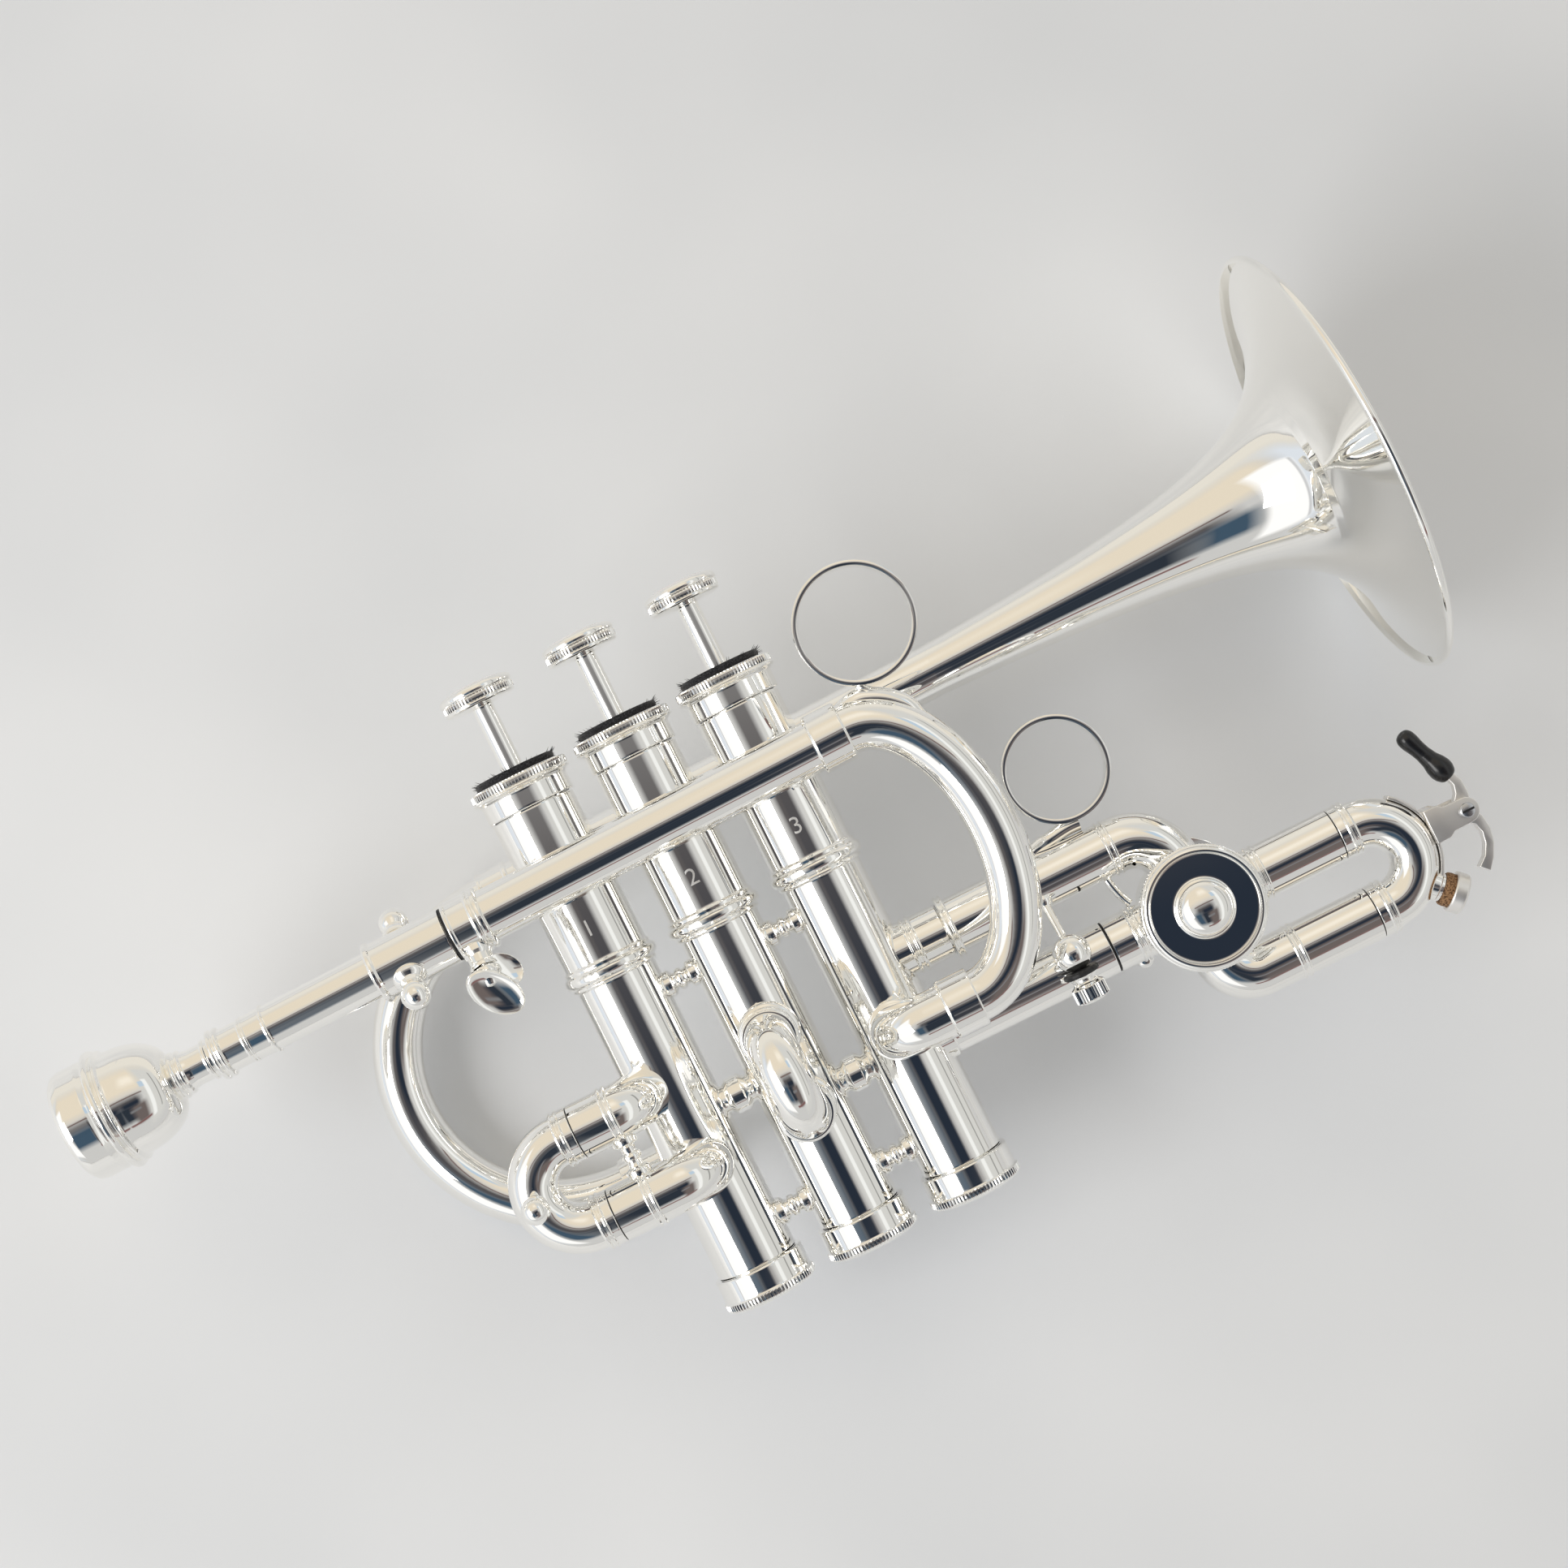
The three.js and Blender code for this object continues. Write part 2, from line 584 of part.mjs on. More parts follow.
function clampParts() {
  const start = mainTubeX;
  const innerR = pipe.r + gap;
  const outerR = innerR + clamp.wall;
  const band = alongPipe(sleeve([
    [outerR, start], [outerR, start + clamp.length * 0.7], [outerR + 0.5, start + clamp.length * 0.8],
    [outerR, start + clamp.length * 0.9], [outerR, start + clamp.length],
  ], innerR));
  const axis = at(0, -Math.cos(clamp.tilt), Math.sin(clamp.tilt));
  const middle = at(pipeAt(start + clamp.length * 0.45), 0, 0);
  const foot = middle.clone().addScaledVector(axis, innerR + 0.4);
  const head = middle.clone().addScaledVector(axis, outerR + clamp.bossLength);
  const hollow = rod(middle, head.clone().addScaledVector(axis, 1), wing.shaftR + gap);
  const boss = rod(foot, head, clamp.bossR);
  mesh("clamp_band", cut(joined(band, boss), hollow), "silver", pipeLine);

  const reach = outerR + clamp.bossLength + gap;
  const leafWidth = wing.width / 2;
  const leaf = plate([
    [-leafWidth * 0.35, 0], [leafWidth * 0.35, 0], [leafWidth, wing.length * 0.45],
    [leafWidth * 0.75, wing.length * 0.85], [0, wing.length],
    [-leafWidth * 0.75, wing.length * 0.85], [-leafWidth, wing.length * 0.45],
  ], wing.thickness);
  const screw = lathe([
    [0, -clamp.bossLength], [wing.shaftR, -clamp.bossLength], [wing.shaftR, 0], [clamp.bossR, 0],
    [clamp.bossR, 1.6], [wing.shaftR + 0.6, 3.4], [0, 3.4],
  ], smallSides);
  const turn = new THREE.Quaternion().setFromUnitVectors(Y, axis);
  const place = middle.clone().addScaledVector(axis, reach);
  const thumb = joined(screw, leaf.translate(0, 1, 0)).applyQuaternion(turn);
  mesh("wing_screw", thumb.translate(place.x, place.y, place.z), "silver", pipeLine);
}

mesh("main_tube", mainTubeSolid(), "silver", pipeLine);
mesh("leadpipe", leadpipeSolid(), "silver", pipeLine);
mesh("mouthpiece", mouthpieceSolid(), "silver", pipeLine);
mesh("slide_collar", alongPipe(sleeve([
  [collar.r + collar.ringHeight, collarX], [collar.r + collar.ringHeight, collarX + 1],
  [collar.r, collarX + 1.5], [collar.r, mainTubeX - gap],
], leadpipe.r + gap)), "silver", pipeLine);
pullKnob("pull_knob_front", 1);
pullKnob("pull_knob_back", -1);
clampParts();

const bowRise = pipe.y - bow.lowY;
const bowRoute = () => new Route(at(bowX, pipe.y, pipeZ), X)
  .bend(Y.clone().negate(), Math.PI, bow.reach, bowRise / 2, bow.steps);
mesh("lead_bow", tube(bowRoute(), bow.r, bow.r - bow.wall), "silver", instrument);

const kneeEndZ = lowerR - 3;
const kneeBoreR = leadKnee.r - leadKnee.wall;
const leadKneeX = valveX(3) + leadKnee.offset;
const leadKneeRoute = new Route(at(bowX - gap, bow.lowY, pipeZ), X.clone().negate())
  .straight(bowX - gap - leadKneeX - kneeR)
  .bend(Z.clone().negate(), Math.PI / 2, kneeR)
  .straight(pipeZ - kneeR - kneeEndZ);
const lowFerrule = turned(sleeve([
  [mainFerruleR, 0], [mainFerruleR, mainTube.ferruleLength],
], kneeBoreR + 0.2), tubeSides, at(bowX - gap - mainTube.ferruleLength, bow.lowY, pipeZ), X);
mesh("lead_knee", cut(
  joined(tube(leadKneeRoute, leadKnee.r, kneeBoreR), lowFerrule),
  casingCutter(valveX(3), lowerR),
), "silver", instrument);

// A finger ring of flat band, standing on a leaf-shaped saddle.
function ringBand(ring, place) {
  const profile = sleeve([[ring.r, -ring.depth / 2], [ring.r, ring.depth / 2]], ring.r - ring.wall);
  return turned(profile, ringSides, place, Z);
}

// The open middle of a ring, a little wider than its bore so that it also trims the saddle.
function ringHole(ring, place) {
  const half = Z.clone().multiplyScalar(ring.depth);
  return rod(place.clone().sub(half), place.clone().add(half), ring.r - ring.wall / 2, ringSides);
}

const saddleWidth = 4;
const fingerPlace = at(bowX + fingerRing.pastBow, pipe.y + bow.r + fingerRing.seat + fingerRing.r, pipeZ);
const fingerSaddle = plate([
  [-11, 3], [-6, 1], [0, 1.2], [5, 0.4], [12, -7], [12, -12], [-11, -6],
].map(([dx, dy]) => [fingerPlace.x + dx, fingerPlace.y - fingerRing.r + dy - gap]), saddleWidth);
mesh("finger_ring", cut(
  joined(ringBand(fingerRing, fingerPlace),
    cut(fingerSaddle.translate(0, 0, pipeZ), ringHole(fingerRing, fingerPlace))),
  tube(bowRoute(), bow.r + gap),
), "silver", instrument);

// ---------------------------------------------------------------- bell and its bow

const bellLine = new THREE.Group();
bellLine.position.set(bellX, bell.y, bellZ);
bellLine.rotation.z = pipeSlope;
instrument.add(bellLine);

function bellSolid() {
  const stations = [];
  for (let i = 0; i <= flare.steps; i += 1) {
    const u = i / flare.steps;
    stations.push(bellRimX - flare.length * (1 - u) ** 2.2);
  }
  const outer = [bellX, ...stations].map((x) => [bellRadius(x), x - bellX]);
  const inner = [...outer].reverse().map(([r, x], i) => [r - bell.wall * (i ? 1 : 0.4), x + (i ? 0.5 : 1.4)]);
  inner[inner.length - 1][1] = 0;
  return turned([...outer, ...inner, outer[0]], 20, at(0, 0, 0), X);
}
mesh("bell", bellSolid(), "silver", bellLine);

const bellTurn = (bell.y - bellBow.lowY) / 2;
const bellBowRoute = new Route(at(bellX - gap, bell.y, bellZ), X.clone().negate())
  .bend(Y.clone().negate(), Math.PI, bellTurn, bellTurn, bellBow.steps);
mesh("bell_bow", tube(bellBowRoute, bellBow.r, bellBow.r - bellBow.wall), "silver", instrument);

const tail = { ferruleWall: 0.7, ferruleLength: 3 };
const tailRoute = new Route(at(bellX, bellBow.lowY, bellZ), X)
  .straight(valveX(1) - kneeR - bellX)
  .bend(Z, Math.PI / 2, kneeR)
  .straight(-bellZ - kneeR - kneeEndZ);
const tailFerrule = turned(sleeve([
  [leadKnee.r + tail.ferruleWall, 0], [leadKnee.r + tail.ferruleWall, tail.ferruleLength],
], kneeBoreR + gap), tubeSides, at(bellX, bellBow.lowY, bellZ), X);
mesh("bell_tail", cut(
  joined(tube(tailRoute, leadKnee.r, kneeBoreR), tailFerrule),
  casingCutter(valveX(1), lowerR),
), "silver", instrument);

// ---------------------------------------------------------------- slides

// A ring of two slopes round a leg.
function legRing(x, y, height = legBeadHeight, width = 2) {
  return turned(sleeve([[legR, 0], [legR + height, width / 2], [legR, width]], legBoreR + 0.1),
    tubeSides, at(x, y, 0), X);
}

// A U-shaped slide crook: its bend is centred on the origin and its legs point along +X, in the XY plane.
function crook(spacing, insert) {
  const half = spacing / 2;
  const straight = ferrule.length + insert;
  const route = new Route(at(straight, half, 0), X.clone().negate())
    .straight(straight)
    .bend(Y.clone().negate(), Math.PI, half, half, bendSteps * 2)
    .straight(straight);
  const band = () => sleeve([
    [ferruleR, 0], [ferruleR + ferrule.beadHeight, 0.8], [ferruleR, 1.6], [ferruleR, ferrule.length - gap],
  ], slideTube.r - slideTube.wall / 2);
  return [
    tube(route, slideTube.r, slideBoreR),
    turned(band(), tubeSides, at(0, half, 0), X),
    turned(band(), tubeSides, at(0, -half, 0), X),
  ];
}

// first slide: two legs with elbows into casing 1, tied by a post
const firstTopX = valveX(1) + firstSlide.offset;
const kneeDrop = kneeR * (1 - Math.cos(firstLean));
const kneeRun = kneeR * Math.sin(firstLean) + (firstZ - kneeDrop) / Math.tan(firstLean);
const firstTopRoute = new Route(at(firstX, firstSlide.topY, firstZ), X)
  .straight(firstTopX - kneeRun - firstX)
  .bend(Z.clone().negate(), firstLean, kneeR)
  .straight((firstZ - kneeDrop - kneeEndZ) / Math.sin(firstLean));
const firstLowRoute = new Route(at(firstX, firstSlide.lowY, firstZ), X)
  .straight(valveX(1) - kneeR - firstX)
  .bend(Z.clone().negate(), Math.PI / 2, kneeR)
  .straight(firstZ - kneeR - kneeEndZ);
const firstMiddleY = (firstSlide.topY + firstSlide.lowY) / 2;
const firstSpacing = firstSlide.topY - firstSlide.lowY;
const slidePost = { footR: 2.2, waistR: 1.5, fromSeam: 8.5, fromCasing: 4 };
const firstPostX = firstX + slidePost.fromSeam;
const firstPost = baluster(at(firstPostX, firstSlide.topY - slideTube.r, firstZ),
  at(firstPostX, firstSlide.lowY + slideTube.r, firstZ), slidePost.footR, slidePost.waistR);
mesh("first_legs", cut(
  joined(tube(firstTopRoute, legR), tube(firstLowRoute, legR), firstPost),
  tube(firstTopRoute, legBoreR),
  tube(firstLowRoute, legBoreR),
  casingCutter(valveX(1), lowerR),
), "silver", instrument);

const firstCrook = new THREE.Group();
firstCrook.position.set(firstX - ferrule.length, firstMiddleY, firstZ);
instrument.add(firstCrook);
const ballKnob = [[0, 0], [1.8, 0], [1.3, 1.4], [2.6, 3], [2.9, 4.4], [2, 6.2], [0, 6.9]];
mesh("first_crook", joined(
  ...crook(firstSpacing, slideInsert.first),
  turned(ballKnob, smallSides, at(-firstSpacing / 2, 0, slideTube.r - slideTube.wall / 2), Z),
), "silver", firstCrook);

// second slide: two short legs out of casing 2 towards the player's right
const secondSpacing = secondSlide.topY - secondSlide.lowY;
const secondLeg = (y, radius) => tube(
  new Route(at(valveX(2), y, kneeEndZ), Z).straight(secondSeamZ - kneeEndZ), radius);
const secondPostZ = lowerR + slidePost.fromCasing;
const secondPost = baluster(at(valveX(2), secondSlide.topY - slideTube.r, secondPostZ),
  at(valveX(2), secondSlide.lowY + slideTube.r, secondPostZ), slidePost.footR, slidePost.waistR);
mesh("second_legs", cut(
  joined(secondLeg(secondSlide.topY, legR), secondLeg(secondSlide.lowY, legR), secondPost),
  secondLeg(secondSlide.topY, legBoreR),
  secondLeg(secondSlide.lowY, legBoreR),
  casingCutter(valveX(2), lowerR),
), "silver", instrument);
const secondCrook = new THREE.Group();
const secondMiddleY = (secondSlide.topY + secondSlide.lowY) / 2;
secondCrook.position.set(valveX(2), secondMiddleY, secondSeamZ + ferrule.length);
secondCrook.rotation.y = Math.PI / 2;
instrument.add(secondCrook);
mesh("second_crook", joined(...crook(secondSpacing, slideInsert.second)), "silver", secondCrook);

// third slide: the lower legs stay on casing 3, and the tube with the finger ring and rotary valve slides
const casingSide = valveX(3) + lowerR;
const legRoot = casingSide - 5;
const alongX = (profile, y) => turned(profile, tubeSides, at(0, y, 0), X);
mesh("third_upper_leg", cut(alongX(sleeve([
  [legR, legRoot], [legR, casingSide + 2.4], [legR + 0.4, casingSide + 2.8],
  [legR, casingSide + 3.4], [legR, thirdCollarX - gap], [slideTube.r, thirdCollarX - gap],
  [slideTube.r, thirdCollarX + thirdSlide.innerLength],
], slideBoreR), thirdSlide.topY), casingCutter(valveX(3), lowerR)), "silver", instrument);
mesh("third_lower_leg", cut(alongX(sleeve([
  [legR, legRoot], [legR, thirdSeamX],
], legBoreR), rotary.y), casingCutter(valveX(3), lowerR)), "silver", instrument);

// The moving tube turns down through an elbow to the rotary valve's top port.
const elbowDrop = thirdSlide.topY - thirdSlide.elbow - (rotary.y + rotary.r + gap);
const movingRoute = new Route(at(thirdCollarX, thirdSlide.topY, 0), X)
  .straight(thirdElbowX - thirdCollarX)
  .bend(Y.clone().negate(), Math.PI / 2, thirdSlide.elbow);
if (elbowDrop > gap) movingRoute.straight(elbowDrop);
const stopRing = sleeve([[thirdR + 0.7, 0], [thirdR + 1.1, 0.6], [thirdR + 0.7, 1.2]], legBoreR + 0.2);
const elbowRing = sleeve([[thirdR, 0], [thirdR + 0.5, 1], [thirdR, 2]], legBoreR + 0.2);
const elbowRingX = thirdElbowX - 2.6;
const rotaryHalf = Z.clone().multiplyScalar(rotary.topZ - rotary.bottomZ);
const rotaryAxis = at(rotaryX, rotary.y, 0);
mesh("third_slide", cut(joined(
  tube(movingRoute, thirdR, legBoreR),
  turned(stopRing, tubeSides, at(thirdCollarX, thirdSlide.topY, 0), X),
  turned(elbowRing, tubeSides, at(elbowRingX, thirdSlide.topY, 0), X),
), rod(rotaryAxis.clone().sub(rotaryHalf), rotaryAxis.clone().add(rotaryHalf), rotary.r + gap, castSides)),
"silver", instrument);

// The space round the moving tube that whatever is soldered to it must leave free.
const roundThird = (from, to) => rod(at(from, thirdSlide.topY, 0), at(to, thirdSlide.topY, 0),
  thirdR + gap, castSides);
const slidePlace = at(rotaryX - slideRing.beforeRotary,
  thirdSlide.topY + thirdR + slideRing.seat + slideRing.r, 0);
const slideSaddle = plate([[-9, 0], [-5, 2.6], [0, 1.2], [6, 2.8], [9, 0], [9, -4], [-9, -4]]
  .map(([dx, dy]) => [slidePlace.x + dx, slidePlace.y - slideRing.r + dy - 2 * gap]), saddleWidth);
mesh("slide_ring", cut(
  joined(ringBand(slideRing, slidePlace), cut(slideSaddle, ringHole(slideRing, slidePlace))),
  roundThird(slidePlace.x - 2 * slideRing.r, thirdElbowX + 5),
  turned([[0, -0.4], [thirdR + 0.9, -0.4], [thirdR + 0.9, 2.4], [0, 2.4]], castSides,
    at(elbowRingX, thirdSlide.topY, 0), X),
), "silver", instrument);

// the slide lock: a ball on a rod from the moving tube, with a thumb screw through the ball
const lockX = rotaryX - lock.beforeRotary;
const lockBall = at(lockX, thirdSlide.topY - lock.below, legR + lock.forward);
const lockFoot = at(lockX, thirdSlide.topY - 2.6, legR - 0.2);
const footR = 1.8;
const screwHole = rod(lockBall.clone().addScaledVector(Y, -lock.ballR - 2), lockBall, lockNut.shaftR + gap);
mesh("lock_post", cut(
  joined(
    new THREE.SphereGeometry(lock.ballR, 10, 7).translate(lockBall.x, lockBall.y, lockBall.z),
    rod(lockFoot, lockBall, lock.rodR),
    new THREE.SphereGeometry(footR, 8, 5).translate(lockFoot.x, lockFoot.y, lockFoot.z),
  ),
  roundThird(thirdCollarX - ferrule.length, thirdElbowX),
  screwHole,
), "silver", instrument);
const neckTop = -lock.ballR - gap + 0.2;
const neckLow = neckTop - lockNut.neckLength;
const nutLow = neckLow - lockNut.height;
mesh("lock_screw", turned([
  [0, 2 - lock.ballR], [lockNut.shaftR, 2 - lock.ballR], [lockNut.shaftR, neckTop - 0.2],
  [lockNut.neckR + 0.6, neckTop - 0.2], [lockNut.neckR + 0.6, neckTop - 0.8],
  [lockNut.neckR - 0.9, neckLow], [lockNut.r, neckLow - 0.3], [lockNut.r, nutLow],
  [lockNut.r - 0.5, nutLow - 0.3], [0, nutLow - 0.3],
], 16, lockBall, Y), "silver", instrument);

// ---------------------------------------------------------------- rotary valve

const rotorPlace = new THREE.Group();
rotorPlace.position.copy(rotaryAxis);
instrument.add(rotorPlace);
const lowStub = alongX(sleeve([
  [slideTube.r, thirdSeamX - thirdSlide.innerStub], [slideTube.r, thirdSeamX + gap],
  [legR, thirdSeamX + gap], [legR, thirdSeamX + 6],
  [legR + 0.5, thirdSeamX + 6.5], [legR, thirdSeamX + 7],
  [legR, rotaryX - rotary.r + 0.8],
], slideBoreR), 0).translate(-rotaryX, 0, 0);
const floorZ = rotary.bottomZ + 1.8;
const shaftR = 2.2;
const lipR = rotary.r + 1.4;
const rotorShell = lathe([
  [shaftR + gap, rotary.bottomZ], [rotary.r - 0.6, rotary.bottomZ], [rotary.r, rotary.bottomZ + 0.8],
  [rotary.r, rotary.topZ - 3], [lipR, rotary.topZ - 2.2], [lipR, rotary.topZ],
  [rotaryBoreR, rotary.topZ], [rotaryBoreR, floorZ], [shaftR + gap, floorZ], [shaftR + gap, rotary.bottomZ],
], castSides).rotateX(Math.PI / 2);
const spokes = [X, Y, X.clone().negate(), Y.clone().negate()];
const rotorPorts = spokes.map((heading) => rod(at(0, 0, 0), heading.clone().multiplyScalar(rotary.r + 4),
  slideBoreR - 0.4, 12));
const shellBore = rod(at(0, 0, floorZ), at(0, 0, rotary.topZ + 5), rotaryBoreR, castSides);
mesh("rotary_casing", cut(cut(joined(rotorShell, lowStub), shellBore), ...rotorPorts), "silver", rotorPlace);

// The rotor's two curved ways join neighbouring ports, and it turns a quarter to swap them.
const rotorR = rotaryBoreR - gap;
const rotorWay = (cornerX, cornerY) => {
  const far = rotorR + 2;
  const route = new Route(at(cornerX * far, 0, 0), at(-cornerX, 0, 0))
    .straight(2)
    .bend(at(0, cornerY, 0), Math.PI / 2, rotorR)
    .straight(2);
  return tube(route, rotary.passageR, 0, smallSides);
};
const shaftEnd = rotary.bottomZ - 3.6;
const rotorBody = lathe([
  [0, shaftEnd], [shaftR, shaftEnd], [shaftR, floorZ + gap], [rotorR, floorZ + gap],
  [rotorR, rotary.topZ - gap], [0, rotary.topZ - gap],
], castSides).rotateX(Math.PI / 2);
mesh("rotor", cut(rotorBody, rotorWay(-1, 1), rotorWay(1, -1)), "nickel", rotorPlace);

const capBase = rotary.topZ + gap;
const capR = rotary.r + rotaryCap.overhang;
mesh("rotary_cap", lathe([
  [0, capBase], [capR, capBase], [capR + 0.2, capBase + 3.2], [capR - 0.6, capBase + 3.9],
  [capR - 1.4, capBase + 3.9], [capR - 2.1, capBase + 3.1], [rotaryCap.domeR + 0.5, capBase + 3.1],
  [rotaryCap.domeR, capBase + 3.5], [rotaryCap.domeR * 0.8, capBase + 5.6],
  [rotaryCap.domeR * 0.4, capBase + 6.8], [0, capBase + 7.1],
], 18).rotateX(Math.PI / 2), "silver", rotorPlace);

// The stop lever turns with the rotor behind the casing: an arm with a screw head, and a stop sector.
const lever = { thickness: 2, width: 3.6, overhang: 4.4, hubR: 4.6, headR: 2.1 };
const sector = { start: 38, turn: 40, steps: 4 }; // degrees
const leverZ = rotary.bottomZ - gap - 1.2;
const armReach = rotary.r + lever.overhang;
const armAngle = THREE.MathUtils.degToRad(208);
const armEnd = at(Math.cos(armAngle), Math.sin(armAngle), 0).multiplyScalar(armReach);
const sectorPoints = [[0, 0]];
for (let i = 0; i <= sector.steps; i += 1) {
  const a = THREE.MathUtils.degToRad(sector.start + (sector.turn * i) / sector.steps);
  sectorPoints.push([(armReach - 1) * Math.cos(a), (armReach - 1) * Math.sin(a)]);
}
const leverArm = new THREE.BoxGeometry(armReach, lever.width, lever.thickness)
  .translate(armReach / 2, 0, 0)
  .rotateZ(armAngle)
  .translate(0, 0, leverZ);
mesh("rotor_lever", cut(joined(
  rod(at(0, 0, leverZ - lever.thickness / 2), at(0, 0, leverZ + lever.thickness / 2), lever.hubR, 16),
  leverArm,
  plate(sectorPoints, lever.thickness).translate(0, 0, leverZ),
  rod(at(armEnd.x, armEnd.y, leverZ - 2.2), at(armEnd.x, armEnd.y, leverZ + 2.6), lever.headR),
), rod(at(0, 0, leverZ - 3), at(0, 0, leverZ + 3), shaftR + gap, 16)), "silver", rotorPlace);

// ---------------------------------------------------------------- fourth slide and water key

const fourthKneeR = legR + fourthSlide.kneeSpare;
const fourthTop = rotary.r + gap;
const fourthLowY = -(fourthTop + fourthKneeR);
const fourthRingX = fourthTop + 3;
mesh("fourth_upper_leg", joined(
  tube(new Route(at(fourthTop, 0, 0), X).straight(fourthSlide.length - fourthTop), legR, legBoreR),
  legRing(fourthRingX, 0),
), "silver", rotorPlace);
const fourthKnee = new Route(at(0, -fourthTop, 0), Y.clone().negate())
  .bend(X, Math.PI / 2, fourthKneeR)
  .straight(fourthSlide.length - fourthKneeR);
mesh("fourth_lower_leg", joined(
  tube(fourthKnee, legR, legBoreR),
  legRing(fourthRingX, fourthLowY),
), "silver", rotorPlace);

const fourthSpacing = -fourthLowY;
const fourthCentre = at(fourthX + ferrule.length, rotary.y + fourthLowY / 2, 0);
const fourthCrook = new THREE.Group();
fourthCrook.position.copy(fourthCentre);
instrument.add(fourthCrook);
const crookOuter = fourthSpacing / 2 + slideTube.r;
const keyHeading = at(Math.cos(waterKey.angle), Math.sin(waterKey.angle), 0);
const nipple = { r: 3.3, height: 1.4 };
const alongKey = (distance) => keyHeading.clone().multiplyScalar(distance);
const [fourthTube, ...fourthBands] = crook(fourthSpacing, slideInsert.fourth);
mesh("fourth_crook", cut(
  joined(
    fourthTube.rotateY(Math.PI),
    ...fourthBands.map((band) => band.rotateY(Math.PI)),
    rod(alongKey(crookOuter - 0.5), alongKey(crookOuter + nipple.height), nipple.r),
  ),
  rod(alongKey(fourthSpacing / 2), alongKey(crookOuter + 4), waterKey.holeR),
), "silver", fourthCrook);

const pivot = at(crookOuter + waterKey.reach, waterKey.rise, 0);
const bracketFoot = crookOuter + gap;
const earR = waterKey.earR;
const bracketHalf = [
  [bracketFoot - 2.5, 4.6], [bracketFoot + 1, 4.6], [bracketFoot + 2.6, 2.8],
  [pivot.x, earR], [pivot.x + earR * 0.8, earR * 0.7],
];
const bracketBody = plate([
  ...bracketHalf.map(([x, dy]) => [x, pivot.y + dy]),
  [pivot.x + earR, pivot.y],
  ...[...bracketHalf].reverse().map(([x, dy]) => [x, pivot.y - dy]),
], 9);
const slotStart = bracketFoot + 1.6;
const slotEnd = pivot.x + 3 * earR;
const bracketSlot = plate([
  [slotStart, pivot.y - 9], [slotEnd, pivot.y - 9], [slotEnd, pivot.y + 9], [slotStart, pivot.y + 9],
], keySlot);
const crookClear = new Route(at(0, fourthSpacing / 2, 0), X)
  .bend(Y.clone().negate(), Math.PI, fourthSpacing / 2, fourthSpacing / 2, bendSteps * 2);
mesh("key_bracket", cut(bracketBody, bracketSlot, tube(crookClear, slideTube.r + gap),
  rod(at(pivot.x, pivot.y, -9), at(pivot.x, pivot.y, 9), keyPinR + gap)), "silver", fourthCrook);
mesh("key_pivot", turned([
  [0, -5.2], [keyPinR, -5.2], [keyPinR, 4.8], [2 * keyPinR, 4.8], [2 * keyPinR, 5.6], [0, 5.9],
], smallSides, pivot, Z), "steel", fourthCrook);

// The key's lever rocks on the pivot: a sleeved touch at one end, a cup with its cork at the other.
const cork = { r: 2, height: 2.6 };
const corkLow = nipple.height + gap;
const corkHigh = corkLow + cork.height;
const cup = { r: 3.5, wall: 2.2, innerR: cork.r + 0.4 };
const cupTop = corkHigh + cup.wall;
const touch = at(pivot.x - 4.5, pivot.y + 20.5, 0);
const touchFoot = at(pivot.x + 0.9, pivot.y + 7.8, 0);
const towardsKey = new THREE.Quaternion().setFromUnitVectors(Y, keyHeading);
const onKey = (geometry) => geometry.applyQuaternion(towardsKey)
  .translate(keyHeading.x * crookOuter, keyHeading.y * crookOuter, 0);
const keyCup = onKey(lathe([
  [0, corkHigh - 0.1], [cup.innerR, corkHigh - 0.1], [cup.innerR, corkLow + 1], [cup.r, corkLow + 1],
  [cup.r, cupTop - 0.6], [cup.r - 0.7, cupTop], [0, cupTop],
], 12));
const arm = { upperR: 1.3, touchR: 1.1, lowerR: 1.4, hubR: 2.3 };
const armLow = at(pivot.x + 1.4, pivot.y - 3, 0);
const armBend = at(pivot.x - 1, pivot.y - 8.6, 0);
const hubHalf = Z.clone().multiplyScalar(keySlot / 2 - 0.4);
mesh("key_lever", cut(joined(
  rod(pivot.clone().sub(hubHalf), pivot.clone().add(hubHalf), arm.hubR, 12),
  rod(pivot.clone(), touchFoot, arm.upperR),
  rod(touchFoot.clone().lerp(pivot, 0.05), touch, arm.touchR),
  rod(pivot.clone(), armLow, arm.lowerR),
  rod(armLow, armBend, arm.lowerR),
  rod(armBend, alongKey(crookOuter + cupTop - 0.7), arm.lowerR),
  keyCup,
), rod(at(pivot.x, pivot.y, -5), at(pivot.x, pivot.y, 5), keyPinR + gap)), "silver", fourthCrook);
mesh("key_cork", onKey(lathe([
  [0, corkLow], [cork.r, corkLow], [cork.r, corkHigh - gap - 0.1], [0, corkHigh - gap - 0.1],
], 12)), "cork", fourthCrook);

const tip = touch.clone().sub(touchFoot);
const tipLength = tip.length();
mesh("key_sleeve", cut(turned([
  [0, 1.2], [2.5, 1.2], [3, 3], [2.6, 5.6], [2, tipLength * 0.6], [2.3, tipLength * 0.85],
  [2, tipLength + 1.2], [0, tipLength + 1.8],
], 12, touchFoot, tip), rod(
  touchFoot.clone().addScaledVector(tip, -0.2), touch.clone().addScaledVector(tip, 0.02), arm.touchR + gap,
)), "rubber", fourthCrook);

// ---------------------------------------------------------------- lay the instrument on its left side

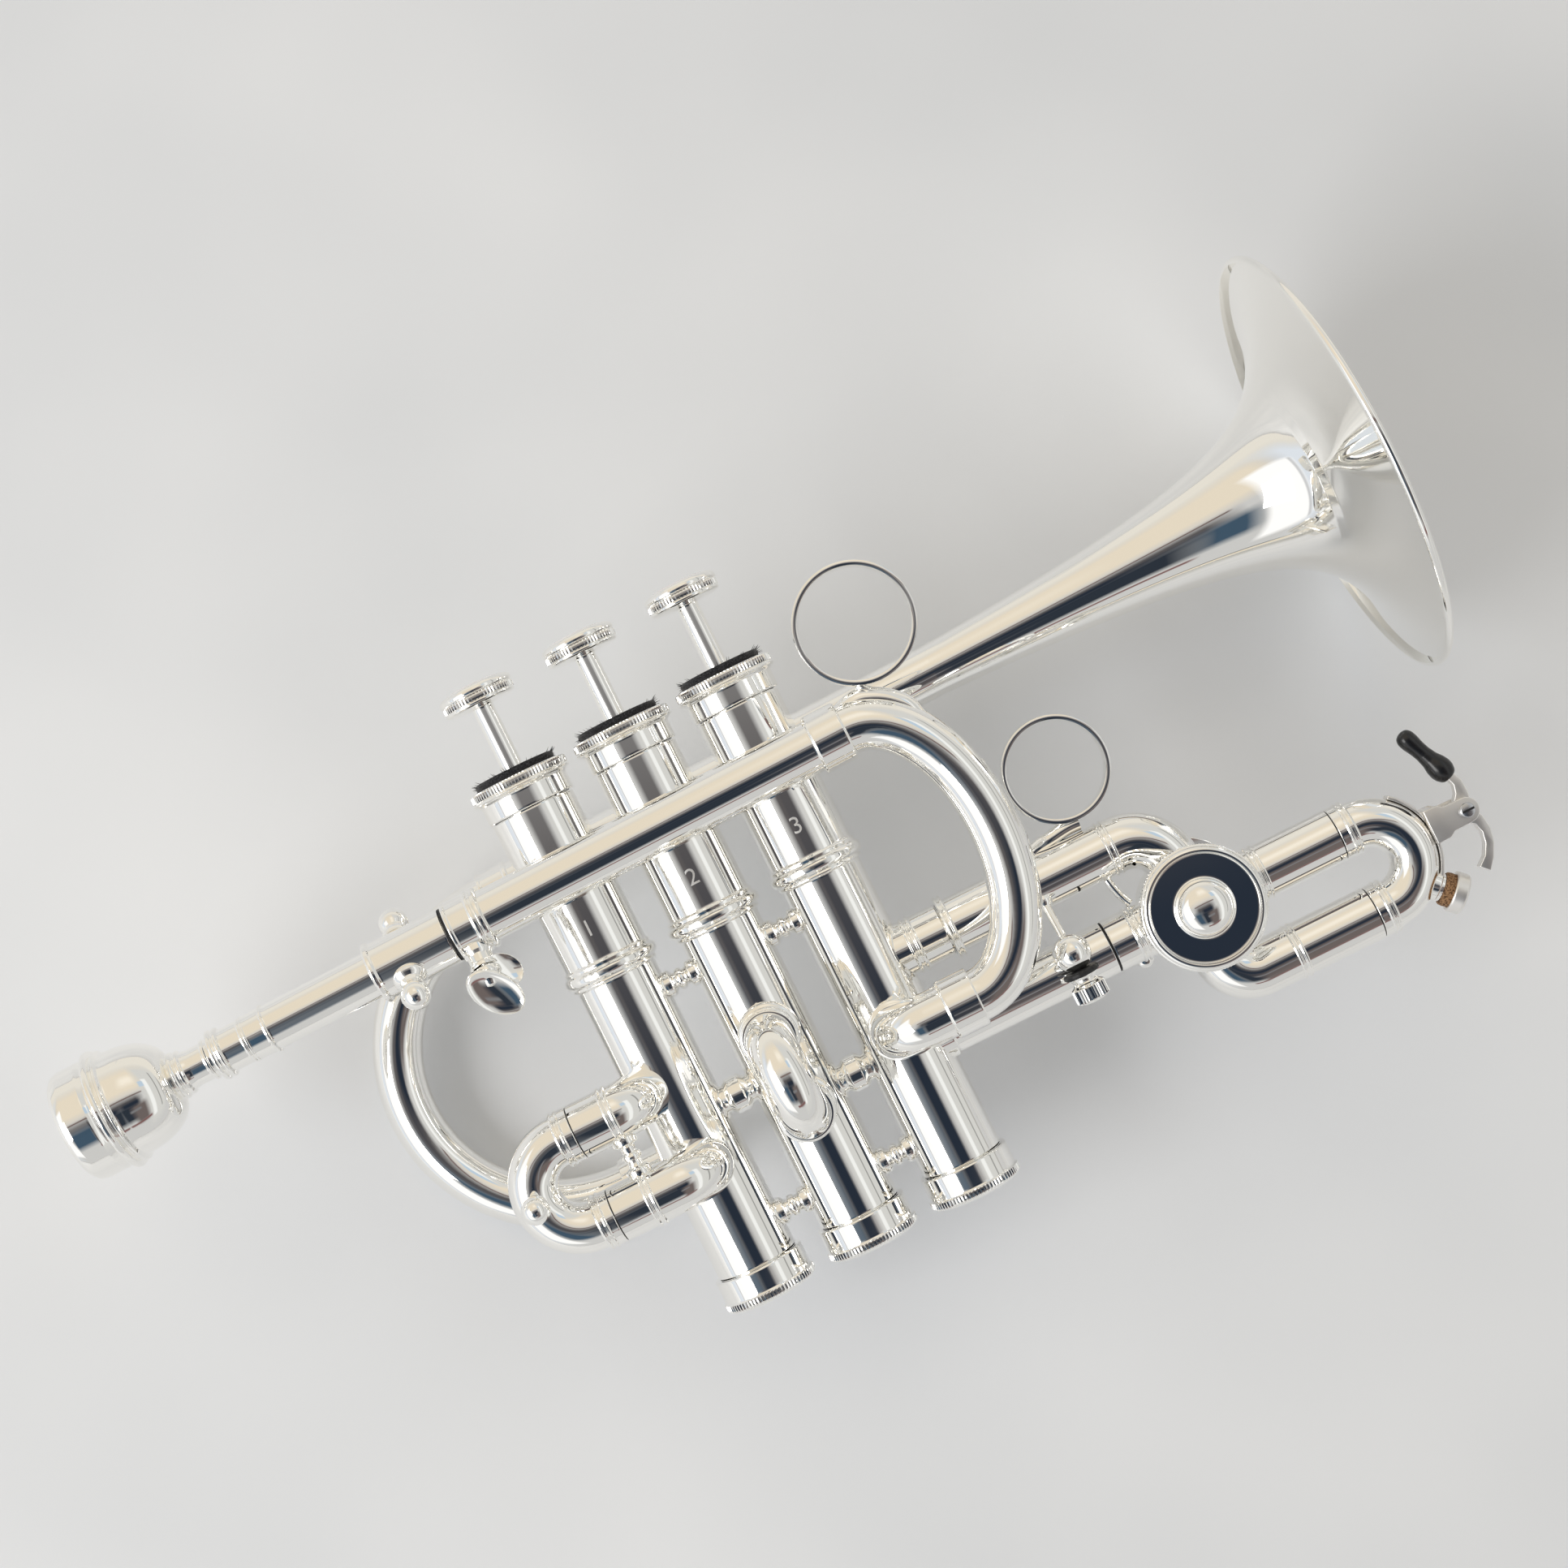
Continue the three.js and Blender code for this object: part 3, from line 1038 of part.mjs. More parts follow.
function worldPoints(group) {
  const points = [];
  group.updateMatrixWorld(true);
  group.traverse((piece) => {
    if (!piece.isMesh) return;
    const corners = piece.geometry.attributes.position;
    for (let i = 0; i < corners.count; i += 1) {
      points.push(at(0, 0, 0).fromBufferAttribute(corners, i).applyMatrix4(piece.matrixWorld));
    }
  });
  return points;
}

function centreOfMass(group) {
  const sum = at(0, 0, 0);
  let total = 0;
  const corner = [at(0, 0, 0), at(0, 0, 0), at(0, 0, 0)];
  group.traverse((piece) => {
    if (!piece.isMesh) return;
    const faces = piece.geometry.index.array;
    for (let i = 0; i < faces.length; i += 3) {
      corner.forEach((point, k) => point
        .fromBufferAttribute(piece.geometry.attributes.position, faces[i + k])
        .applyMatrix4(piece.matrixWorld));
      const [a, b, c] = corner;
      const volume = a.dot(b.clone().cross(c)) / 6;
      total += volume;
      sum.addScaledVector(a.clone().add(b).add(c), volume / 4);
    }
  });
  return sum.divideScalar(total);
}

// The hull face that lies under the centre of mass is the one the instrument comes to rest on.
function restingNormal(points, centre) {
  const hull = new ConvexHull().setFromPoints(points);
  const down = Z.clone().negate();
  let best = null;
  for (const face of hull.faces) {
    if (face.normal.dot(down) < 0.8) continue;
    const ray = new THREE.Ray(centre, face.normal);
    const corners = [];
    let edge = face.edge;
    do {
      corners.push(edge.head().point);
      edge = edge.next;
    } while (edge !== face.edge);
    const foot = ray.intersectTriangle(corners[0], corners[1], corners[2], false, at(0, 0, 0));
    const drop = face.distanceToPoint(centre);
    if (foot && (!best || Math.abs(drop) < Math.abs(best.drop))) best = { normal: face.normal.clone(), drop };
  }
  return best.normal;
}

const hullPoints = worldPoints(instrument);
const rest = restingNormal(hullPoints, centreOfMass(instrument));
instrument.quaternion.setFromUnitVectors(rest, Z.clone().negate());
instrument.updateMatrixWorld(true);
const extent = new THREE.Box3().setFromPoints(worldPoints(instrument));
const middle = extent.getCenter(at(0, 0, 0));
instrument.position.set(-middle.x, -middle.y, -extent.min.z);

export default trumpet;
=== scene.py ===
# %% [markdown]
# # A piccolo trumpet in silver plate
#
# This lesson dresses a working trumpet. The frame that is loaded below already has every part that
# moves, at its real size and place, but it is faceted and dull. Each part is modelled again here, round
# and polished, with the operators that a person would use by hand, and then rides on the frame's bodies.

# %% Load the frame
import json
import math

import bpy
from mathutils import Matrix, Vector


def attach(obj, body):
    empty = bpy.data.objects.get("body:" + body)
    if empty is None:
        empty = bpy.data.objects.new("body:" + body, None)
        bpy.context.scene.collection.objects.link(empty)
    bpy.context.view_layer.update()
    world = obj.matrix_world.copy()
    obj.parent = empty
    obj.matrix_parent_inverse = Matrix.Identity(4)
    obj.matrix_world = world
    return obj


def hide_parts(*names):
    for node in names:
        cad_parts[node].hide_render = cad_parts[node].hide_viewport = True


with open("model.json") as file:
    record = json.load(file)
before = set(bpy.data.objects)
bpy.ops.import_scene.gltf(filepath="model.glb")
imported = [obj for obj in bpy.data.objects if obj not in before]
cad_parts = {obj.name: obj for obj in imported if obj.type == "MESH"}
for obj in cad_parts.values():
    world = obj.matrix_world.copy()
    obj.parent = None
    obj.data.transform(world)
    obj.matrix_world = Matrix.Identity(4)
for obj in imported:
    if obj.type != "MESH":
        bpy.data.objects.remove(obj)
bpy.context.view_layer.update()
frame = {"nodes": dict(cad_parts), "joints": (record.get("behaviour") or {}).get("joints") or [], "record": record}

# %% [markdown]
# ## The instrument's own axes
#
# The trumpet lies on its left side, a little tilted, as it would on a table. Modelling a tilted thing is
# awkward, so every piece is made in the instrument's own axes, in millimetres: X runs to the bell, Y to
# the finger buttons and Z to the player's right. The joints of the frame say where those axes point.
# When a piece is finished, one matrix lays it down at its real size in metres.

# %% Axes of the instrument, read from the joints
joint = {entry["name"]: entry for entry in frame["joints"]}
to_bell = Vector(joint["third_slide_pull"]["axis"])
to_buttons = -Vector(joint["valve_1_press"]["axis"])
to_right = Vector(joint["second_slide_pull"]["axis"])
ROTARY_X = 100.3
ROTARY_Y = -44.2
turn = Matrix((to_bell, to_buttons, to_right)).transposed()
rotary_place = Vector(joint["rotor_turn"]["pos_m"])
origin = rotary_place - turn @ Vector((ROTARY_X, ROTARY_Y, 0)) / 1000
to_row = Matrix.Translation(origin) @ turn.to_4x4() @ Matrix.Scale(0.001, 4)
from_row = to_row.inverted()
print("origin of the instrument in metres:", [round(value, 4) for value in origin])


# %% Where a frame node lies, in the instrument's millimetres
def span(node):
    corners = [from_row @ vertex.co for vertex in frame["nodes"][node].data.vertices]
    low = Vector([min(place[axis] for place in corners) for axis in range(3)])
    high = Vector([max(place[axis] for place in corners) for axis in range(3)])
    return low, high


def middle(node):
    low, high = span(node)
    return (low + high) / 2


def at(x, y, z=0.0):
    return Vector((x, y, z))


X, Y, Z = at(1, 0), at(0, 1), at(0, 0, 1)
valve_x = {number: middle(f"bottom_cap_{number}").x for number in (1, 2, 3)}
print("valves stand at", {number: round(x, 2) for number, x in valve_x.items()})

# %% [markdown]
# ## Modelling by turning and by bending
#
# Nearly every part of a trumpet is either turned on a lathe or is a tube bent round a former. Two helpers
# do the same with Blender's operators. The first draws an outline one vertex at a time and spins it a
# full turn. The second starts from a disc, extrudes it for each straight and spins it for each bend.


# %% Start a new piece with nothing selected
def clear():
    active = bpy.context.view_layer.objects.active
    if active and active.mode != "OBJECT":
        bpy.ops.object.mode_set(mode="OBJECT")
    bpy.ops.object.select_all(action="DESELECT")


def draw(points):
    """A wire through the points, drawn from one vertex."""
    clear()
    bpy.ops.mesh.primitive_plane_add(size=1, location=points[0])
    bpy.ops.object.mode_set(mode="EDIT")
    bpy.ops.mesh.merge(type="CENTER")
    for here, there in zip(points, points[1:]):
        bpy.ops.mesh.extrude_region_move(TRANSFORM_OT_translate={"value": there - here})
    return bpy.context.object


def tidy_shell():
    """Merges what meets, turns all faces outwards and leaves edit mode."""
    bpy.ops.mesh.select_all(action="SELECT")
    bpy.ops.mesh.remove_doubles(threshold=0.0005)
    bpy.ops.mesh.normals_make_consistent(inside=False)
    bpy.ops.object.mode_set(mode="OBJECT")


# %% Round the corners of an outline, as polishing does
def softened(outline, radius=0.14):
    points = [Vector(point) for point in outline]
    soft = [points[0]]
    for before, corner, after in zip(points, points[1:], points[2:]):
        back, ahead = before - corner, after - corner
        if back.length < 1e-6 or ahead.length < 1e-6 or math.pi - back.angle(ahead) < 0.3:
            soft.append(corner)
            continue
        reach = min(radius, back.length * 0.4, ahead.length * 0.4)
        start = corner + back.normalized() * reach
        end = corner + ahead.normalized() * reach
        soft += [start, (start + end) / 4 + corner / 2, end]
    return soft + [points[-1]]


def held(points, reach=0.3):
    """Adds a point close to each corner of a long straight, so that its shading stays flat."""
    turns = [0.0] * len(points)
    for i in range(1, len(points) - 1):
        back, ahead = points[i] - points[i - 1], points[i + 1] - points[i]
        if back.length > 1e-6 and ahead.length > 1e-6:
            turns[i] = back.angle(ahead)
    firm = [points[0]]
    for i in range(1, len(points)):
        here, there = points[i - 1], points[i]
        if (there - here).length > 5 * reach:
            way = (there - here).normalized() * reach
            firm += [here + way] if turns[i - 1] > 0.08 else []
            firm += [there - way] if turns[i] > 0.08 else []
        firm.append(there)
    return firm


# %% Turn an outline of (radius, height) about an axis
def turned(outline, foot, axis, sides=72, soft=0.14):
    axis = axis.normalized()
    across = axis.cross(Z if abs(axis.z) < 0.9 else X).normalized()
    points = [foot + across * r + axis * h for r, h in held(softened(outline, soft))]
    piece = draw(points)
    bpy.ops.mesh.select_all(action="SELECT")
    bpy.ops.mesh.spin(steps=sides, angle=2 * math.pi, center=foot, axis=axis)
    tidy_shell()
    return piece


def sleeve(outside, bore):
    """A ring's closed outline: its outside, then back along the bore."""
    return [(bore, outside[0][1])] + list(outside) + [(bore, outside[-1][1]), (bore, outside[0][1])]


def ball(radius, centre, low, steps):
    """The outline of a ball from an angle below its equator, in degrees, up to its top."""
    turns = [math.radians(low + (90 - low) * step / steps) for step in range(steps)]
    outline = [(radius * math.cos(t), centre + radius * math.sin(t)) for t in turns]
    return outline + [(0, centre + radius)]


# %% Bend a tube: ("run", length) goes straight and ("bend", towards, degrees, radius) turns
def tube(start, heading, radius, moves, sides=56, step=4):
    clear()
    facing = Z.rotation_difference(heading).to_euler()
    bpy.ops.mesh.primitive_circle_add(
        vertices=sides, radius=radius, location=start, rotation=facing, fill_type="NGON"
    )
    piece = bpy.context.object
    bpy.ops.object.mode_set(mode="EDIT")
    bpy.ops.mesh.select_all(action="SELECT")
    place, heading = start.copy(), heading.normalized()
    for kind, *sizes in moves:
        if kind == "run":
            bpy.ops.mesh.extrude_region_move(TRANSFORM_OT_translate={"value": heading * sizes[0]})
            place = place + heading * sizes[0]
            continue
        towards, degrees, bend = sizes
        centre = place + towards * bend
        axis = towards.cross(heading)
        angle = math.radians(degrees)
        bpy.ops.mesh.spin(steps=math.ceil(degrees / step), angle=angle, center=centre, axis=axis)
        swing = Matrix.Rotation(-angle, 3, axis)
        place = centre + swing @ (place - centre)
        heading = (swing @ heading).normalized()
    tidy_shell()
    return piece


# %% A tube along Bezier knots: (place, handle) with the handle's reach on both sides
def curved_rod(knots, radius):
    clear()
    bpy.ops.curve.primitive_bezier_curve_add()
    piece = bpy.context.object
    piece.location = (0, 0, 0)
    spline = piece.data.splines[0]
    spline.bezier_points.add(len(knots) - 2)
    for knot, (place, handle) in zip(spline.bezier_points, knots):
        knot.handle_left_type = knot.handle_right_type = "FREE"
        knot.co = place
        knot.handle_left = place - handle
        knot.handle_right = place + handle
    piece.data.resolution_u = 24
    piece.data.bevel_depth = radius
    piece.data.bevel_resolution = 12
    piece.data.use_fill_caps = True
    bpy.ops.object.convert(target="MESH")
    bpy.ops.object.mode_set(mode="EDIT")
    bpy.ops.mesh.select_all(action="SELECT")
    tidy_shell()
    return piece


# %% A plate cut to an outline in the XY plane, with rounded edges
def plate(outline, z_low, z_high, edge=0.25):
    points = [at(x, y, z_low) for x, y in outline]
    piece = draw(points)
    bpy.ops.mesh.select_all(action="SELECT")
    bpy.ops.mesh.edge_face_add()
    bpy.ops.mesh.select_all(action="SELECT")
    bpy.ops.mesh.extrude_region_move(TRANSFORM_OT_translate={"value": at(0, 0, z_high - z_low)})
    bpy.ops.mesh.select_all(action="SELECT")
    bpy.ops.mesh.normals_make_consistent(inside=False)
    bpy.ops.object.mode_set(mode="OBJECT")
    rounding = piece.modifiers.new("rounded edges", "BEVEL")
    rounding.width = edge
    rounding.segments = 3
    rounding.limit_method = "ANGLE"
    rounding.angle_limit = math.radians(40)
    bpy.ops.object.modifier_apply(modifier=rounding.name)
    return piece


def arc(centre, radius, start, end, steps):
    """Points round part of a circle, in degrees."""
    turns = [math.radians(start + (end - start) * i / steps) for i in range(steps + 1)]
    return [(centre[0] + radius * math.cos(a), centre[1] + radius * math.sin(a)) for a in turns]


def strip(path, widths):
    """The outline of a band that follows a path of (x, y) places, with a width at each."""
    left, right = [], []
    for i, place in enumerate(path):
        ahead = Vector(path[min(i + 1, len(path) - 1)]) - Vector(path[max(i - 1, 0)])
        side = Vector((-ahead.y, ahead.x)).normalized() * widths[i] / 2
        left.append(tuple(Vector(place) + side))
        right.append(tuple(Vector(place) - side))
    return left + right[::-1]


# %% A turned piece with a knurl: every third column of its rim is pressed inwards
def knurled(outline, foot, axis, teeth, low, high, rim, depth=0.982):
    sides = 3 * teeth
    piece = turned(outline, foot, axis, sides)
    axis = axis.normalized()
    clear()
    piece.select_set(True)
    bpy.context.view_layer.objects.active = piece
    bpy.ops.object.mode_set(mode="EDIT")
    bpy.ops.mesh.select_all(action="DESELECT")
    bpy.ops.object.mode_set(mode="OBJECT")
    across = axis.cross(Z if abs(axis.z) < 0.9 else X).normalized()
    other = axis.cross(across)
    for vertex in piece.data.vertices:
        out = piece.matrix_world @ vertex.co - foot
        height = out.dot(axis)
        flat = out - axis * height
        column = round(math.atan2(flat.dot(other), flat.dot(across)) / (2 * math.pi) * sides) % 3
        vertex.select = column == 0 and low <= height <= high and flat.length > rim
    bpy.ops.object.mode_set(mode="EDIT")
    keep = [1 if abs(part) > 0.5 else depth for part in axis]
    bpy.ops.transform.resize(value=keep, center_override=foot)
    bpy.ops.object.mode_set(mode="OBJECT")
    return piece


# %% Join parts into one piece, and lay a finished piece down in the frame
def joined(*parts):
    clear()
    for part in parts:
        part.select_set(True)
    bpy.context.view_layer.objects.active = parts[0]
    bpy.ops.object.join()
    return parts[0]


body_of = {
    node: body for body, nodes in frame["record"]["behaviour"]["bodies"].items() for node in nodes
}


def lay_down(piece, name, finish, body, angle=None):
    """The piece goes from the instrument's axes to its place in the frame, and rides on a body."""
    clear()
    piece.select_set(True)
    bpy.context.view_layer.objects.active = piece
    piece.matrix_world = to_row @ piece.matrix_world
    bpy.ops.object.transform_apply(location=True, rotation=True, scale=True)
    if angle:
        bpy.ops.object.shade_smooth_by_angle(angle=math.radians(angle))
    piece.name = piece.data.name = name
    piece.data.materials.clear()
    piece.data.materials.append(finish)
    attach(piece, body)
    print(name, len(piece.data.vertices), "vertices, on", body)


def settle(piece, name, finish, node, angle=32):
    """A finished piece that stands for one node of the frame."""
    lay_down(piece, name, finish, body_of[node], angle)
    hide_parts(node)


def silver(piece, node, angle=32):
    """A silver-plated piece that stands for one node of the frame."""
    settle(piece, f"fine_{node}", silver_plate, node, angle)


def greased(rings, name, body):
    """Black rings lie between two parts and ride on a body, but stand for no node of the frame."""
    lay_down(joined(*rings), name, grease, body, angle=30)


# %% [markdown]
# ## Finishes
#
# Polished silver has almost no colour of its own: what is seen is the room. So the plating is a plain
# metal, with two faint effects that make it real. Hand buffing leaves a haze of fine marks, and bent
# tube is never quite even, so reflections waver. Both are one node group, used by each metal.


# %% Small helpers for node trees
def new_finish(name, color, metallic, roughness):
    finish = bpy.data.materials.new(name)
    finish.use_nodes = True
    shader = finish.node_tree.nodes["Principled BSDF"]
    shader.inputs["Base Color"].default_value = (*color, 1)
    shader.inputs["Metallic"].default_value = metallic
    shader.inputs["Roughness"].default_value = roughness
    return finish, finish.node_tree, shader


def add(tree, kind, **values):
    node = tree.nodes.new(kind)
    for key, value in values.items():
        if hasattr(node, key):
            setattr(node, key, value)
        else:
            node.inputs[key.replace("_", " ")].default_value = value
    return node


def span_map(tree, value, low, high, to_low, to_high):
    """A Map Range node from one span of values to another."""
    node = add(tree, "ShaderNodeMapRange")
    tree.links.new(value, node.inputs["Value"])
    for key, number in zip(("From Min", "From Max", "To Min", "To Max"), (low, high, to_low, to_high)):
        node.inputs[key].default_value = number
    return node.outputs["Result"]


# %% The node group for buffed metal
def buffing_group():
    group = bpy.data.node_groups.new("buffed metal", "ShaderNodeTree")
    face = group.interface
    for name, default in (("Grain Size", 900.0), ("Smoothest", 0.03), ("Dullest", 0.09), ("Waver", 0.4)):
        socket = face.new_socket(name, in_out="INPUT", socket_type="NodeSocketFloat")
        socket.default_value = default
    face.new_socket("Roughness", in_out="OUTPUT", socket_type="NodeSocketFloat")
    face.new_socket("Height", in_out="OUTPUT", socket_type="NodeSocketFloat")
    given = add(group, "NodeGroupInput")
    result = add(group, "NodeGroupOutput")
    place = add(group, "ShaderNodeTexCoord")
    links = group.links
    haze = add(group, "ShaderNodeTexNoise", Detail=4.0, Roughness=0.6, Scale=45.0)
    links.new(place.outputs["Object"], haze.inputs["Vector"])
    stretch = add(group, "ShaderNodeMapping")
    stretch.inputs["Scale"].default_value = (1.0, 6.0, 1.6)
    stretch.inputs["Rotation"].default_value = (0.4, 0.2, 0.9)
    links.new(place.outputs["Object"], stretch.inputs["Vector"])
    marks = add(group, "ShaderNodeTexNoise", Detail=2.0, Roughness=0.5)
    links.new(stretch.outputs["Vector"], marks.inputs["Vector"])
    links.new(given.outputs["Grain Size"], marks.inputs["Scale"])
    hazy = span_map(group, haze.outputs["Fac"], 0.35, 0.75, 0.0, 1.0)
    lined = span_map(group, marks.outputs["Fac"], 0.58, 0.72, 0.0, 0.6)
    dull = add(group, "ShaderNodeMath", operation="MAXIMUM")
    links.new(hazy, dull.inputs[0])
    links.new(lined, dull.inputs[1])
    rough = add(group, "ShaderNodeMapRange")
    links.new(dull.outputs["Value"], rough.inputs["Value"])
    links.new(given.outputs["Smoothest"], rough.inputs["To Min"])
    links.new(given.outputs["Dullest"], rough.inputs["To Max"])
    links.new(rough.outputs["Result"], result.inputs["Roughness"])
    slow = add(group, "ShaderNodeTexNoise", Detail=1.0, Scale=70.0)
    links.new(place.outputs["Object"], slow.inputs["Vector"])
    height = add(group, "ShaderNodeMath", operation="MULTIPLY")
    links.new(slow.outputs["Fac"], height.inputs[0])
    links.new(given.outputs["Waver"], height.inputs[1])
    links.new(height.outputs["Value"], result.inputs["Height"])
    return group


buffed = buffing_group()


def buff(tree, shader, grain, smoothest, dullest, waver, distance=0.00002):
    """Adds the buffed metal group to a finish."""
    node = add(tree, "ShaderNodeGroup")
    node.node_tree = buffed
    values = (("Grain Size", grain), ("Smoothest", smoothest), ("Dullest", dullest), ("Waver", waver))
    for key, number in values:
        node.inputs[key].default_value = number
    tree.links.new(node.outputs["Roughness"], shader.inputs["Roughness"])
    bump = add(tree, "ShaderNodeBump", Strength=0.6, Distance=distance)
    tree.links.new(node.outputs["Height"], bump.inputs["Height"])
    tree.links.new(bump.outputs["Normal"], shader.inputs["Normal"])
    return node


# %% Silver plate, nickel and steel
silver_plate, tree, shader = new_finish("silver_plate", (0.975, 0.965, 0.935), 1.0, 0.04)
buff(tree, shader, 900.0, 0.02, 0.07, 0.5)
nickel, tree, shader = new_finish("nickel_silver", (0.88, 0.86, 0.83), 1.0, 0.4)
buff(tree, shader, 2600.0, 0.34, 0.52, 0.8)
steel, tree, shader = new_finish("steel", (0.56, 0.57, 0.59), 1.0, 0.3)
buff(tree, shader, 2000.0, 0.2, 0.4, 0.6)
frosted, tree, shader = new_finish("engraved_silver", (0.93, 0.92, 0.9), 1.0, 0.5)
buff(tree, shader, 3000.0, 0.45, 0.6, 0.9)
print("metals:", silver_plate.name, nickel.name, steel.name, frosted.name)


# %% [markdown]
# ## Finishes that are not metal
#
# The buttons are topped with pearl, the caps carry black felt washers, the water key closes on a cork
# and has a rubber sleeve. Where one tube slides in another, old grease shows as a thin black line. Each
# gets its own noise: cloudy for pearl, fibrous for felt, pitted for cork and almost none for rubber.


# %% A finish whose colour and height follow one noise
def noisy_finish(name, dark, light, roughness, scale, detail, low, high, distance):
    finish, tree, shader = new_finish(name, light, 0.0, roughness)
    place = add(tree, "ShaderNodeTexCoord")
    noise = add(tree, "ShaderNodeTexNoise", Scale=scale, Detail=detail)
    tree.links.new(place.outputs["Object"], noise.inputs["Vector"])
    shade = add(tree, "ShaderNodeValToRGB")
    shade.color_ramp.elements[0].position = low
    shade.color_ramp.elements[0].color = (*dark, 1)
    shade.color_ramp.elements[1].position = high
    shade.color_ramp.elements[1].color = (*light, 1)
    tree.links.new(noise.outputs["Fac"], shade.inputs["Fac"])
    tree.links.new(shade.outputs["Color"], shader.inputs["Base Color"])
    rough = span_map(tree, noise.outputs["Fac"], low, high, roughness * 1.25, roughness * 0.8)
    tree.links.new(rough, shader.inputs["Roughness"])
    bump = add(tree, "ShaderNodeBump", Strength=0.7, Distance=distance)
    tree.links.new(noise.outputs["Fac"], bump.inputs["Height"])
    tree.links.new(bump.outputs["Normal"], shader.inputs["Normal"])
    return finish, shader


pearl, shader = noisy_finish(
    "mother_of_pearl", (0.86, 0.76, 0.74), (0.97, 0.94, 0.93), 0.16, 160.0, 3.0, 0.35, 0.62, 0.00002
)
shader.inputs["Coat Weight"].default_value = 0.8
shader.inputs["Coat Roughness"].default_value = 0.04
felt, shader = noisy_finish(
    "black_felt", (0.004, 0.004, 0.006), (0.035, 0.035, 0.042), 0.9, 2600.0, 6.0, 0.4, 0.7, 0.00025
)
shader.inputs["Sheen Weight"].default_value = 0.25
cork, shader = noisy_finish(
    "cork", (0.07, 0.03, 0.012), (0.33, 0.18, 0.08), 0.8, 2200.0, 5.0, 0.38, 0.56, 0.00012
)
rubber, shader = noisy_finish(
    "black_rubber", (0.006, 0.006, 0.007), (0.014, 0.014, 0.016), 0.22, 500.0, 3.0, 0.3, 0.7, 0.00003
)
grease, shader = noisy_finish(
    "slide_grease", (0.004, 0.004, 0.005), (0.02, 0.02, 0.022), 0.5, 900.0, 3.0, 0.35, 0.65, 0.00003
)
print("others:", pearl.name, felt.name, cork.name, rubber.name, grease.name)

# %% [markdown]
# ## The camera, the light and the floor
#
# The instrument is seen from straight above its right side. Silver shows whatever stands round it, so
# the room matters as much as the metal: white soft light all round, a dark patch where the viewer
# stands, a warm wall beyond and a bright window on the left. Each is a soft-edged patch of sky.

# %% Camera above the instrument
VIEW_FROM = at(28, 22.8, 620)
VIEW_TILT = math.radians(26.4)
right = X * math.cos(VIEW_TILT) - Y * math.sin(VIEW_TILT)
up = X * math.sin(VIEW_TILT) + Y * math.cos(VIEW_TILT)
facing = (turn @ Matrix((right, up, Z)).transposed()).to_4x4()
bpy.ops.object.camera_add()
camera = bpy.context.object
camera.matrix_world = Matrix.Translation(to_row @ VIEW_FROM) @ facing
camera.data.lens = 61.8
camera.data.sensor_width = 36
bpy.context.scene.camera = camera
print("camera at", [round(value, 3) for value in camera.location])


# %% The room: patches of light by direction
def room():
    world = bpy.data.worlds.new("studio")
    bpy.context.scene.world = world
    world.use_nodes = True
    tree = world.node_tree
    place = add(tree, "ShaderNodeTexCoord")

    def facing_part(direction):
        dot = add(tree, "ShaderNodeVectorMath", operation="DOT_PRODUCT")
        tree.links.new(place.outputs["Generated"], dot.inputs[0])
        dot.inputs[1].default_value = direction
        return dot.outputs["Value"]

    above = facing_part(to_right)

    def angle(part):
        slope = add(tree, "ShaderNodeMath", operation="ARCTAN2")
        tree.links.new(part, slope.inputs[0])
        tree.links.new(above, slope.inputs[1])
        return slope.outputs["Value"]

    east, north = angle(facing_part(turn @ X)), angle(facing_part(turn @ Y))

    def ramp(value, centre, half, soft):
        away = add(tree, "ShaderNodeMath", operation="SUBTRACT")
        tree.links.new(value, away.inputs[0])
        away.inputs[1].default_value = math.radians(centre)
        size = add(tree, "ShaderNodeMath", operation="ABSOLUTE")
        tree.links.new(away.outputs["Value"], size.inputs[0])
        inner, outer = math.radians(half - soft), math.radians(half + soft)
        return span_map(tree, size.outputs["Value"], inner, outer, 1.0, 0.0)

    def patch(under, color, east_centre, east_half, north_centre, north_half, soft):
        mask = add(tree, "ShaderNodeMath", operation="MULTIPLY")
        tree.links.new(ramp(east, east_centre, east_half, soft), mask.inputs[0])
        tree.links.new(ramp(north, north_centre, north_half, soft), mask.inputs[1])
        mix = add(tree, "ShaderNodeMix", data_type="RGBA")
        tree.links.new(mask.outputs["Value"], mix.inputs["Factor"])
        if under is None:
            mix.inputs[6].default_value = (*BASE_LIGHT, 1)
        else:
            tree.links.new(under, mix.inputs[6])
        mix.inputs[7].default_value = (*color, 1)
        return mix.outputs[2]

    light = None
    for name, color, *sizes in ROOM_PATCHES:
        light = patch(light, color, *sizes)
    tree.links.new(light, tree.nodes["Background"].inputs["Color"])
    print("patches in the room:", len(ROOM_PATCHES))


